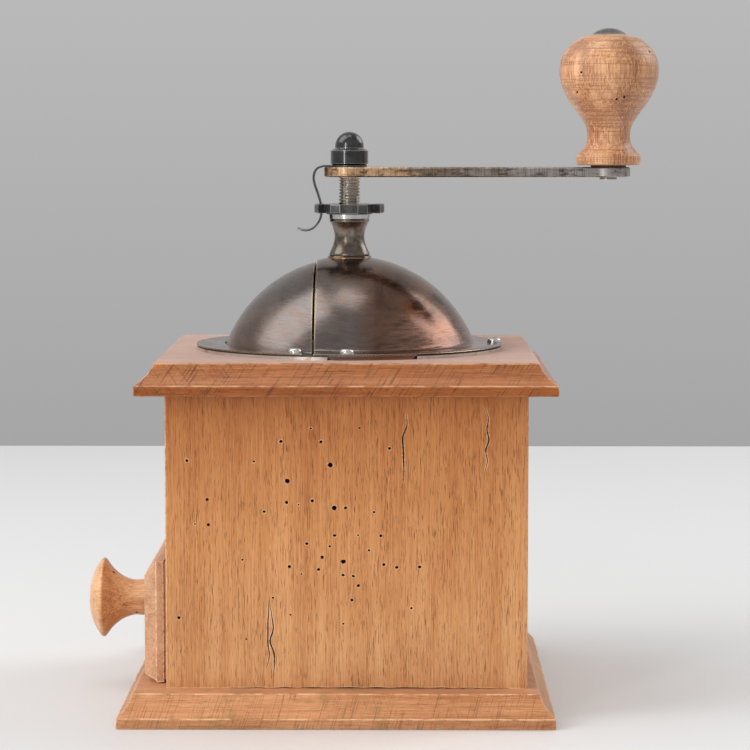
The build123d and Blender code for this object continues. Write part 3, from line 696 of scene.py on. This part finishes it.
def drying_cracks(bm, low, high, dice):
    """Cracks along the grain from near the top and the foot of the front, and the worn joint at its foot."""
    steps = 6
    for crack in range(2 * CRACKS_AT_EACH_END):
        length = dice.uniform(14, 24)
        x = dice.uniform(low.x + 5, high.x - 5)
        top = high.z - dice.uniform(2, 12) if crack % 2 else low.z + length + dice.uniform(2, 8)
        wander = dice.uniform(0.2, 0.8)
        line = [(x + dice.uniform(-wander, wander), low.y, top - length * i / steps)
                for i in range(steps + 1)]
        add_crack(bm, line, (0, 1, 0), dice.uniform(0.4, 0.55), 0.9)
    joint = [(x, low.y, low.z + 0.12 + 0.1 * math.sin(x * 0.9))
             for x in range(round(low.x) + 19, round(high.x) - 1, 4)]
    add_crack(bm, joint, (0, 1, 0), 0.42, 1.0)


# -------------------------------- moulded plates
def rounded_corner(a, b, c, radius, steps=3):
    """Points that round the corner b between a and c."""
    first = b + (a - b).normalized() * radius
    last = b + (c - b).normalized() * radius
    points = []
    for s in range(steps + 1):
        t = s / steps
        points.append(first * (1 - t) ** 2 + b * 2 * t * (1 - t) + last * t * t)
    return points


def plate_profile(height, band, ledge, run, hollow):
    """(inset, height) points of a moulded edge, from the underside up to the top arris."""
    under = [Vector((3.0, 0)), Vector((0, 0)), Vector((0, band)), Vector((ledge, band))]
    middle = Vector((ledge + run / 2 + hollow, (band + height) / 2))
    cove = curve_through([(ledge, band), tuple(middle), (ledge + run, height)], 7)[1:]
    outline = under[:1]
    outline += rounded_corner(under[0], under[1], under[2], 0.4)
    outline += [Vector((0, 0.5 * band))]
    outline += rounded_corner(under[1], under[2], under[3], 0.3)
    outline += cove[:-1]
    top = Vector((ledge + run, height))
    outline += rounded_corner(cove[-2], top, top + Vector((4, 0)), 0.35)
    outline += [Vector((ledge + run + 1.2, height)), Vector((ledge + run + 4, height))]
    return outline


# height, band, ledge, run of the cove, depth of its hollow
TOP_MOULDING = (9.6, 3.1, 0.4, 5.0, 1.2)
BASE_MOULDING = (10.0, 3.1, 0.3, 4.5, 0.7)


def moulded_plate(name, node, profile, spacing, body, material, chips=(), bore=0.0, seed=0):
    """A square plate with a moulded edge, worn unevenly, as rings of points round the plate."""
    low, high = span(node)
    bm = bmesh.new()
    nx = round((high.x - low.x) / spacing)
    ny = round((high.y - low.y) / spacing)

    def rim(inset, z):
        outline = around(low.x + inset, high.x - inset, low.y + inset, high.y - inset, nx, ny)
        return [Vector((x, y, low.z + z)) for x, y in outline]

    centre = (low + high) / 2
    rows = []
    for inset, z in profile:
        row = []
        for point in rim(inset, z):
            wear = 0.10 * noise.noise(point * 0.35 + Vector((seed, 0, 0)))
            wear += 0.05 * noise.noise(point * 1.7 + Vector((seed, 9, 0)))
            pull = Vector((centre.x - point.x, centre.y - point.y, centre.z - point.z)).normalized()
            if inset < 9:
                point = point + pull * max(0.0, 0.05 + wear)
            for x, y, zc, reach, deep in chips:
                gap = (point - Vector((x, y, zc))).length
                if gap < reach:
                    rough = 0.75 + 0.5 * noise.noise(point * 2.2)
                    point = point + pull * deep * (1 - (gap / reach) ** 2) * rough
            row.append(bm.verts.new(point * MM))
        rows.append(row)
    for a, b in zip(rows, rows[1:]):
        bridge(bm, a, b)
    if bore:
        edge = [v.co.copy() for v in rows[-1]]
        last = rows[-1]
        for share in (0.35, 0.75, 1.0):
            row = []
            for co in edge:
                angle = math.atan2(co.y, co.x)
                circle = Vector((bore * MM * math.cos(angle), bore * MM * math.sin(angle), co.z))
                row.append(bm.verts.new(co.lerp(circle, share)))
            bridge(bm, last, row)
            last = row
        down = [bm.verts.new((v.co.x, v.co.y, low.z * MM)) for v in last]
        bridge(bm, last, down)
        outer = rows[0]
        bridge(bm, down, outer)
    else:
        bm.faces.new(rows[-1])
        bm.faces.new(rows[0][::-1])
    piece = finish_piece(name, mesh_of(bm, name), body, [node], material)
    return sharpen(piece, 50)


def arris_chips(low, high, inset, level, counts, seed):
    """Knocks along a plate's arris, the front corners first: (x, y, z, reach, depth)."""
    dice = random.Random(seed)
    x0, x1, y0, y1 = low.x + inset, high.x - inset, low.y + inset, high.y - inset
    chips = [(x0, y0, level, 2.0, 1.0), (x1, y0, level, 1.4, 0.6)]
    for edge, count in enumerate(counts):
        for _ in range(count):
            share = dice.uniform(0.08, 0.92)
            x, y = x0 + (x1 - x0) * share, y0 + (y1 - y0) * share
            place = ((x, y0), (x1, y), (x, y1), (x0, y))[edge]
            chips.append((*place, level, dice.uniform(0.9, 1.5), dice.uniform(0.5, 0.8)))
    return chips


# -------------------------------- drawer
def drawer_front():
    """The moulded drawer front: rebated back, flat lip, a small step, a wide bevel and a raised field."""
    low, high = span("drawer_front")
    back, face = high.x, low.x
    lip_back, lip_face = -55.75, -58.1
    side_bevel, top_bevel, bottom_bevel = 3.3, 4.8, 1.9
    section = [
        (back, 0.7, 1), (lip_back - 0.01, 0.7, 1), (lip_back, 0.05, 1), (lip_back - 0.15, 0, 1),
        (lip_face + 0.25, 0, 1),
        (lip_face + 0.06, 0.08, 1), (lip_face, 0.35, 1), (lip_face - 0.35, 0.5, 1), (lip_face - 0.55, 0.7, 1),
    ]
    drop = lip_face - 0.55 - face
    section += [(lip_face - 0.55 - drop * t, t, 0) for t in (0.15, 0.35, 0.55, 0.75, 0.9, 0.985)]
    section += [(face, 1.03, 0), (face, 1.6, 0)]
    spacing = 1.2
    ny = round((high.y - low.y) / spacing)
    nz = round((high.z - low.z) / spacing)
    bm = bmesh.new()
    rows = []
    for x, inset, plain in section:
        if plain:
            side = above = below = inset
        else:
            side = 0.7 + (side_bevel - 0.7) * inset
            above = 0.7 + (top_bevel - 0.7) * inset
            below = 0.7 + (bottom_bevel - 0.7) * inset
        row = []
        for y, z in around(low.y + side, high.y - side, low.z + below, high.z - above, ny, nz):
            here = Vector((x, y, z))
            wear = 0.05 + 0.06 * noise.noise(here * 0.5) + 0.05 * noise.noise(here * 1.9)
            inward = Vector((0, -y / high.y, (30 - z) / 30)).normalized()
            point = Vector((x + (wear if x < lip_face else 0), y, z))
            if x < lip_back:
                point += inward * max(0.0, wear)
            row.append(bm.verts.new(point * MM))
        rows.append(row)
    for a, b in zip(rows, rows[1:]):
        bridge(bm, a, b)
    bm.faces.new(rows[-1])
    bm.faces.new(rows[0][::-1])
    piece = finish_piece("drawer_front_board", mesh_of(bm, "drawer_front_board"), "drawer",
                         ["drawer_front"], drawer_wood)
    sharpen(piece, 40)
    dice = random.Random(5)
    knob_z = 28.4
    cuts = bmesh.new()
    for _ in range(12):
        point = (face, dice.uniform(low.y + 8, high.y - 8), dice.uniform(low.z + 8, high.z - 8))
        if math.hypot(point[1], point[2] - knob_z) > 9:
            add_hole(cuts, point, (1, 0, 0), dice.choice((0.8, 0.6, 0.5)), 2.4, dice)
    return carve(piece, cuts, hole_dark)


def drawer_pull():
    """The turned mushroom knob of the drawer."""
    low, high = span("drawer_knob")
    reach = high.x - low.x
    profile = [(0.0, 0.0)]
    profile += curve_through([(6.3, 0.0), (6.05, 1.0), (5.75, 4.7), (5.75, 7.7), (7.0, 11.1), (9.3, 14.0),
                              (11.6, 15.8), (12.45, 16.45)], 5)
    profile += curve_through([(12.66, 16.8), (12.6, 17.2), (12.1, 17.85), (9.0, 19.8), (5.0, 21.2),
                              (0.0, reach)], 5)
    profile = [tuple(p) for p in profile]
    centre_z = (low.z + high.z) / 2
    place = Matrix.Translation((high.x * MM, 0, centre_z * MM)) @ Matrix.Rotation(-math.pi / 2, 4, "Y")
    bm = lathe(profile, 96, place, 0.05, 3)
    piece = finish_piece("drawer_pull", mesh_of(bm, "drawer_pull"), "drawer", ["drawer_knob"],
                         pull_wood)
    sharpen(piece, 60)
    dice = random.Random(23)
    cuts = bmesh.new()
    for _ in range(6):
        angle, along_pull = dice.uniform(0, TURN), dice.uniform(4, 14)
        out = Vector((0, math.cos(angle), math.sin(angle)))
        point = Vector((high.x - along_pull, 0, centre_z)) + out * radius_at(profile, along_pull)
        add_hole(cuts, point, -out, 0.42, 1.6, dice)
    return carve(piece, cuts, hole_dark)


# -------------------------------- dome and metalwork
def cut_by_x(bm, x, keep_above):
    """Keep the part of a bmesh on one side of an upright plane, and close the cut."""
    geometry = bm.verts[:] + bm.edges[:] + bm.faces[:]
    result = bmesh.ops.bisect_plane(
        bm, geom=geometry, plane_co=(x * MM, 0, 0), plane_no=(1, 0, 0),
        clear_inner=keep_above, clear_outer=not keep_above,
    )
    edges = [e for e in result["geom_cut"] if isinstance(e, bmesh.types.BMEdge)]
    bmesh.ops.holes_fill(bm, edges=edges, sides=0)
    bmesh.ops.triangulate(bm, faces=[f for f in bm.faces if len(f.verts) > 4])


def dome_arc(radius, low_z, stop_radius, steps):
    """(radius, height) points down a round dome, from near the axis to its foot."""
    first = math.asin(stop_radius / radius)
    last = math.acos((low_z - DOME_CENTRE) / radius)
    return [
        (radius * math.sin(first + (last - first) * s / steps),
         DOME_CENTRE + radius * math.cos(first + (last - first) * s / steps))
        for s in range(steps + 1)
    ]


def edge_bead(bm, radius, x, low_z, bead):
    """A thin rolled bead along a dome's upright cut."""
    ring_radius = math.sqrt(radius ** 2 - x ** 2)
    reach = math.acos((low_z - DOME_CENTRE) / ring_radius)
    rows = []
    for s in range(97):
        angle = -reach + 2 * reach * s / 96
        out = Vector((0, -math.sin(angle), math.cos(angle)))
        middle = Vector((x, 0, DOME_CENTRE)) + out * ring_radius
        rows.append([
            bm.verts.new((middle + out * (bead * math.cos(t)) + Vector((bead * math.sin(t), 0, 0))) * MM)
            for t in (k * TURN / 8 for k in range(8))
        ])
    skin(bm, rows)


def dome_fixed():
    """The fixed part of the dome with its boss and flange, spun from sheet."""
    boss_top = span("dome_shell")[1].z
    outer_r, sheet = 42.4, 0.4
    flange_low, flange_top = 110.25, 110.65
    boss = [(5.05, boss_top - 0.3), (5.3, boss_top), (6.3, boss_top), (6.7, boss_top - 0.1),
            (6.9, boss_top - 0.4),
            (6.95, boss_top - 0.7)]
    outer = dome_arc(outer_r, flange_top + 0.9, 7.4, 44)
    fillet = [(39.75, flange_top + 0.35), (40.15, flange_top + 0.06), (40.8, flange_top)]
    flange = [(44.0, flange_top), (48.3, flange_top), (48.6, flange_top - 0.12), (48.7, flange_top - 0.28),
              (48.55, flange_low + 0.03), (48.3, flange_low), (44.0, flange_low)]
    inner = dome_arc(outer_r - sheet, flange_low, 5.05, 36)[::-1]
    profile = boss + outer + fillet + flange + inner + [boss[0]]
    bm = lathe(profile, 220)
    for vert in bm.verts:
        radial = Vector((vert.co.x, vert.co.y, 0))
        if vert.co.z > 0.1115:
            ripple = 0.05 * noise.noise(vert.co * 90) + 0.02 * noise.noise(vert.co * 260)
            vert.co += (vert.co - Vector((0, 0, DOME_CENTRE * MM))).normalized() * (ripple * MM)
        elif radial.length > 0.041:
            vert.co.z += 0.03 * MM * noise.noise(vert.co * 120)
    weld(bm)
    cut_by_x(bm, -10.1, True)
    edge_bead(bm, outer_r - 0.2, -10.0, flange_top, 0.26)
    piece = finish_piece("dome_fixed", mesh_of(bm, "dome_fixed"), "mill_box", ["dome_shell"],
                         copper)
    return sharpen(piece, 40)


def flange_step():
    """The stretch of the flange that is dressed down to the wood in front."""
    bm = bmesh.new()
    start, end = math.radians(-97), math.radians(-64)
    section = [(43.9, 110.1), (43.9, 108.82), (48.3, 108.82), (48.62, 108.95), (48.66, 110.2), (48.0, 110.3)]
    rows = []
    count = 40
    for s in range(count + 1):
        angle = start + (end - start) * s / count
        ease = min(1.0, min(s, count - s) / 3)
        row = []
        for radius, height in section:
            z = height if height > 110 else 110.1 - (110.1 - height) * ease
            row.append(bm.verts.new((radius * MM * math.cos(angle), radius * MM * math.sin(angle), z * MM)))
        rows.append(row)
    skin(bm, rows)
    return finish_piece("flange_step", mesh_of(bm, "flange_step"), "mill_box", [], copper,
                        smooth=False)


def hatch_door():
    """The sliding hatch: a slice of a slightly smaller dome with a thin foot."""
    foot_low = span("hatch")[0].z
    outer_r, sheet = 41.9, 0.4
    foot_top = foot_low + sheet
    outer = dome_arc(outer_r, foot_top + 0.3, 2.0, 44)
    foot = [(39.3, foot_top), (41.0, foot_top), (43.2, foot_top), (43.3, foot_top - 0.2), (43.2, foot_low)]
    inner = dome_arc(outer_r - sheet, foot_low, 2.0, 36)[::-1]
    bm = lathe(outer + foot + inner + [outer[0]], 220)
    weld(bm)
    for vert in bm.verts:
        ripple = 0.04 * noise.noise(vert.co * 95 + Vector((3, 0, 0)))
        vert.co -= (vert.co - Vector((0, 0, DOME_CENTRE * MM))).normalized() * (abs(ripple) * MM)
    cut_by_x(bm, -11.0, False)
    edge_bead(bm, outer_r - 0.24, -11.0, foot_top, 0.22)
    piece = finish_piece("hatch_door", mesh_of(bm, "hatch_door"), "hatch", ["hatch"], copper)
    return sharpen(piece, 40)


def neck():
    """The hourglass bush on top of the dome."""
    foot, top = 131.0, 150.0
    seat, bore = 138.3, 3.56
    profile = [(bore, foot), (5.0, foot), (5.0, seat), (6.1, seat), (6.4, seat + 0.25), (6.42, seat + 0.6)]
    profile += [tuple(p) for p in curve_through(
        [(6.35, seat + 0.8), (5.2, seat + 3.4), (4.7, seat + 6.1), (5.15, seat + 8.6), (6.0, seat + 10.5)],
        6)]
    profile += [(6.1, top - 1), (6.3, top - 0.88), (6.3, top - 0.15), (6.15, top), (bore, top), (bore, foot)]
    bm = lathe(profile, 96, wobble=0.03, seed=8)
    piece = finish_piece("neck_turned", mesh_of(bm, "neck_turned"), "mill_box", ["neck_bush"],
                         bush_metal)
    return sharpen(piece, 45)


def spindle_threaded():
    """The spindle, with a real thread where it shows between wheel and crank."""
    bm = bmesh.new()
    segments = 72
    thread_low, thread_high, pitch = 150.3, 163.0, 1.0
    rows = []

    def row_at(z, radius_of):
        rows.append([
            bm.verts.new((radius_of(a) * MM * math.cos(a), radius_of(a) * MM * math.sin(a), z * MM))
            for a in (s * TURN / segments for s in range(segments))
        ])

    for z, radius in ((49.2, 2.7), (49.5, 3.0), (58.0, 3.0), (58.0, 4.0), (74.0, 4.0), (74.0, 3.5),
                      (150.0, 3.5)):
        row_at(z, lambda a, r=radius: r)
    steps = round((thread_high - thread_low) / pitch * 12)
    for i in range(steps + 1):
        z = thread_low + (thread_high - thread_low) * i / steps
        fade = min(1.0, (thread_high - z) / 0.5, (z - thread_low) / 0.5)

        def radius_of(a, z=z, fade=fade):
            phase = (z / pitch - a / TURN) % 1.0
            flank = min(1.0, max(0.0, abs(phase * 2 - 1) * 1.35 - 0.15))
            return 3.5 - 0.58 * fade * flank

        row_at(z, radius_of)
    for z, radius in ((163.1, 3.5), (163.2, 3.3), (163.2, 2.5), (167.0, 2.5), (167.0, 3.0), (174.2, 3.0),
                      (174.5, 2.7)):
        row_at(z, lambda a, r=radius: r)
    skin(bm, rows)
    piece = finish_piece("spindle_threaded", mesh_of(bm, "spindle_threaded"), "spindle", ["spindle"],
                         thread_metal)
    return sharpen(piece, 60)


def clip():
    """The flat spring clip: plate under the nut, a bend down, the catch and a curled tail."""
    thick, width = 0.7, 5.0
    bm = bmesh.new()
    points = [(-2.0, 166.65), (-6.4, 166.65), (-8.3, 166.62), (-10.4, 165.75), (-11.3, 163.6), (-11.1, 161.2),
              (-10.1, 158.2), (-9.15, 154.9), (-8.9, 151.8), (-9.5, 149.5), (-11.2, 147.3), (-13.3, 146.35),
              (-15.2, 146.5), (-16.6, 147.1)]
    line = curve_through(points, 6)
    rows = []
    for i, p in enumerate(line):
        ahead = (line[min(i + 1, len(line) - 1)] - line[max(i - 1, 0)]).normalized()
        normal = Vector((ahead.y, -ahead.x))
        share = i / (len(line) - 1)
        half = width / 2 * (1 - 0.62 * max(0.0, (share - 0.72) / 0.28))
        t = thick / 2 * (1 - 0.4 * max(0.0, (share - 0.85) / 0.15))
        edge = 0.12
        corners = [(t, half - edge), (t - edge, half), (edge - t, half), (-t, half - edge),
                   (-t, edge - half), (edge - t, -half), (t - edge, -half), (t, edge - half)]
        rows.append([bm.verts.new(Vector((p.x + normal.x * n, y, p.y + normal.y * n)) * MM) for n,
                     y in corners])
    skin(bm, rows)
    strip = mesh_of(bm, "spring_clip_strip")
    piece = finish_piece("spring_clip_strip", strip, "spindle", ["spring_clip"], clip_metal)
    sharpen(piece, 30)
    plate = lathe([(3.05, 166.32), (5.4, 166.32), (5.6, 166.45), (5.6, 166.85), (5.4, 166.98), (3.05, 166.98),
                   (3.05, 166.32)], 64)
    ring = finish_piece("spring_clip_plate", mesh_of(plate, "spring_clip_plate"), "spindle", [],
                        clip_metal)
    sharpen(ring, 40)


def spindle_spring():
    """The coil spring over the cone burr, wound between the foot and the top of its CAD node; it is not
    attached to the spindle or the bridge.
    """
    low, high = span("spindle_spring")
    wire, turns, steps, sides = 0.6, 4, 48, 10
    radius = (high.x - low.x) / 2 - wire
    foot, top = low.z + wire, high.z - wire
    bm = bmesh.new()
    rows = []
    for i in range(turns * steps + 1):
        share = i / (turns * steps)
        angle = share * turns * TURN
        out = Vector((math.cos(angle), math.sin(angle), 0))
        middle = out * radius + Vector((0, 0, foot + (top - foot) * share))
        rows.append([
            bm.verts.new((middle + out * (wire * math.cos(t)) + Vector((0, 0, wire * math.sin(t)))) * MM)
            for t in (k * TURN / sides for k in range(sides))
        ])
    skin(bm, rows)
    piece = finish_piece("spindle_spring_wound", mesh_of(bm, "spindle_spring_wound"), None,
                         ["spindle_spring"], spring_steel)
    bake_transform(piece)


# -------------------------------- crank knob
def crank_knob():
    """The turned knob of the crank, with worm holes and drying cracks."""
    low, high = span("crank_knob")
    centre = Vector(((low.x + high.x) / 2, 0, 0))
    base = low.z
    profile = [(2.4, base), (9.5, base)]
    profile += [tuple(p) for p in curve_through([
        (9.85, base + 0.25), (10.2, base + 1.6), (10.05, base + 3.0), (8.9, base + 4.3), (7.4, base + 6.2),
        (6.75, base + 8.8), (7.15, base + 12.0), (8.75, base + 14.9), (11.0, base + 18.0),
        (13.2, base + 21.3),
        (14.95, base + 25.0), (15.68, base + 29.0), (15.45, base + 32.3), (14.2, base + 35.4),
        (11.7, base + 38.3),
        (8.7, base + 40.2), (5.6, base + 40.95)], 5)]
    profile += [(4.9, high.z), (2.4, high.z), (2.4, base)]
    bm = lathe(profile, 128, Matrix.Translation(centre * MM), 0.06, 5)
    piece = finish_piece("crank_knob_turned", mesh_of(bm, "crank_knob_turned"), "knob", ["crank_knob"],
                         knob_wood)
    sharpen(piece, 50)
    dice = random.Random(31)
    cuts = bmesh.new()

    def on_knob(angle, height):
        out = Vector((math.cos(angle), math.sin(angle), 0))
        return centre + out * radius_at(profile[1:-1], base + height) + Vector((0, 0, base + height)), -out

    for _ in range(12):
        point, inward = on_knob(dice.uniform(0, TURN), dice.uniform(20, 39))
        add_hole(cuts, point, inward, dice.choice(HOLE_RADII[3:]), 2.2, dice)
    for _ in range(5):
        start, top = dice.uniform(0, TURN), dice.uniform(34, 36)
        points = [on_knob(start + 0.04 * i, top - 1.8 * i)[0] for i in range(4)]
        add_crack(cuts, [tuple(p) for p in points], on_knob(start, top)[1], 0.4, 0.8)
    return carve(piece, cuts, hole_dark)


# -------------------------------- carried-over nodes
def dress(node, material, bevel=0.0):
    """Give a CAD node its finish, and ease its arrises."""
    piece = nodes[node]
    for place in piece.material_slots:
        place.material = material
    if bevel:
        step = piece.modifiers.new("eased", "BEVEL")
        step.width = bevel * MM
        step.segments = 2
        step.limit_method = "ANGLE"
        step.angle_limit = math.radians(40)


def dress_nodes():
    for node in ("corner_blocks", "runner_front", "runner_back", "kicker_front", "kicker_back",
                 "drawer_side_front", "drawer_side_back", "drawer_tail", "drawer_bottom"):
        dress(node, raw_wood, 0.25)
    dress("base_ring", bright, 0.3)
    dress("track_spacer", dark_steel)
    dress("retaining_rail", copper)
    dress("flange_screws", polished)
    dress("funnel", tin)
    dress("neck_nut", dark_steel)
    for node in ("burr_housing", "ring_burr", "cone_burr", "upper_bridge"):
        dress(node, iron)
    for node in ("housing_screws", "base_screws", "burr_nut", "lower_stirrup", "drawer_knob_screw",
                 "knob_washer"):
        dress(node, dark_steel)
    dress("bearing_washer", polished, 0.12)
    dress("adjusting_wheel", black_metal, 0.1)
    dress("crank_arm", arm_metal)
    dress("cap_nut", nut_metal, 0.15)
    dress("knob_pin", cap_metal)


# -------------------------------- pieces
body_board("body_front", 1, -1, 11)
body_board("body_back", 1, 1, 17)
body_board("body_right", 0, 1, 29)
body_board("body_left", 0, -1, 37)

top_low, top_high = span("top_plate")
top_chips = arris_chips(top_low, top_high, 5.4, top_high.z, (5, 2, 2, 2), 6)
moulded_plate("top_plate_moulded", "top_plate", plate_profile(*TOP_MOULDING), 0.9, "mill_box",
              plate_wood, top_chips, bore=36.9, seed=4)
base_low, base_high = span("base_plate")
base_chips = arris_chips(base_low, base_high, 0.4, 3.1, (2, 2, 2, 2), 8)
moulded_plate("base_plate_moulded", "base_plate", plate_profile(*BASE_MOULDING), 1.0, "mill_box",
              base_wood, base_chips, seed=9)
drawer_front()
drawer_pull()
dome_fixed()
flange_step()
hatch_door()
neck()
spindle_threaded()
clip()
spindle_spring()
crank_knob()
dress_nodes()


# -------------------------------- floor, light, camera
def plain_material(name, colour, rough):
    g = Graph(name)
    tone = g.noise(300, 3.0, 0.5)
    g.link(g.ramp(tone, (0.3, tuple(c * 0.97 for c in colour)), (0.7, colour)), "Base Color")
    g.set(Roughness=rough)
    return g.material


def floor():
    """A plain pale table top, whose far edge is the horizon of the main view."""
    bm = bmesh.new()
    bmesh.ops.create_grid(bm, x_segments=8, y_segments=8, size=0.5)
    for vert in bm.verts:
        vert.co = Vector((vert.co.x * 2.6, vert.co.y * 2.6 - 0.63, 0))
    mesh = bpy.data.meshes.new("floor")
    bm.to_mesh(mesh)
    bm.free()
    piece = add_object("floor", mesh)
    mesh.materials.append(plain_material("pale_table", (0.775, 0.775, 0.775), 0.45))


def softbox(name, place, size, power, mirrored=True):
    """A soft rectangular studio light aimed at the dome; unless mirrored, metal doesn't reflect it."""
    light = bpy.data.lights.new(name, "AREA")
    light.shape = "RECTANGLE"
    light.size, light.size_y = size
    light.energy = power
    lamp = add_object(name, light)
    lamp.location = place
    lamp.visible_glossy = mirrored
    lamp.rotation_euler = (Vector((0, 0, 0.10)) - Vector(place)).to_track_quat("-Z", "Y").to_euler()


def studio_world():
    """A grey surround, a little darker towards the horizon."""
    world = bpy.data.worlds.new("studio")
    world.use_nodes = True
    tree = world.node_tree
    direction = tree.nodes.new("ShaderNodeTexCoord")
    parts = tree.nodes.new("ShaderNodeSeparateXYZ")
    ramp = tree.nodes.new("ShaderNodeValToRGB")
    rise = tree.nodes.new("ShaderNodeMapRange")
    rise.inputs["From Min"].default_value = -0.12
    rise.inputs["From Max"].default_value = 0.08
    ramp.color_ramp.elements[0].color = (0.375, 0.375, 0.375, 1)
    ramp.color_ramp.elements[1].color = (0.505, 0.505, 0.505, 1)
    tree.links.new(direction.outputs["Generated"], parts.inputs[0])
    tree.links.new(parts.outputs["Z"], rise.inputs["Value"])
    tree.links.new(rise.outputs[0], ramp.inputs[0])
    tree.links.new(ramp.outputs[0], tree.nodes["Background"].inputs[0])
    bpy.context.scene.world = world


def lights():
    """Broad dim cards that the metal mirrors, and stronger lights that only model the wood."""
    softbox("card_left", (-0.81, -0.09, 1.09), (0.85, 1.15), 5.6)
    softbox("card_right", (0.95, 0.42, 0.80), (0.75, 0.75), 3.8)
    softbox("card_over", (-0.01, -0.02, 1.30), (0.40, 0.42), 0.8)
    softbox("strip_front", (-0.60, -1.05, 0.42), (0.10, 0.60), 2.2)
    softbox("key_left", (-1.05, -0.40, 0.62), (0.70, 0.70), 7.0, mirrored=False)
    softbox("key_right", (0.90, 0.45, 0.80), (0.60, 0.60), 2.2, mirrored=False)
    softbox("fill_front", (-0.30, -1.30, 0.26), (1.0, 0.4), 2.4, mirrored=False)


def camera():
    """Placed and aimed as a photographer's would be: slightly above the knob's foot, pitched down."""
    data = bpy.data.cameras.new("camera")
    data.lens = 128.0
    data.sensor_width = 36.0
    data.clip_start = 0.05
    data.clip_end = 20
    shooter = add_object("camera", data)
    shooter.location = (0.0148, -0.8477, 0.1751)
    shooter.rotation_euler = (math.pi / 2 - 0.0882, 0, 0.0079)
    bpy.context.scene.camera = shooter


floor()
studio_world()
lights()
camera()
bpy.context.scene.view_settings.view_transform = "Standard"
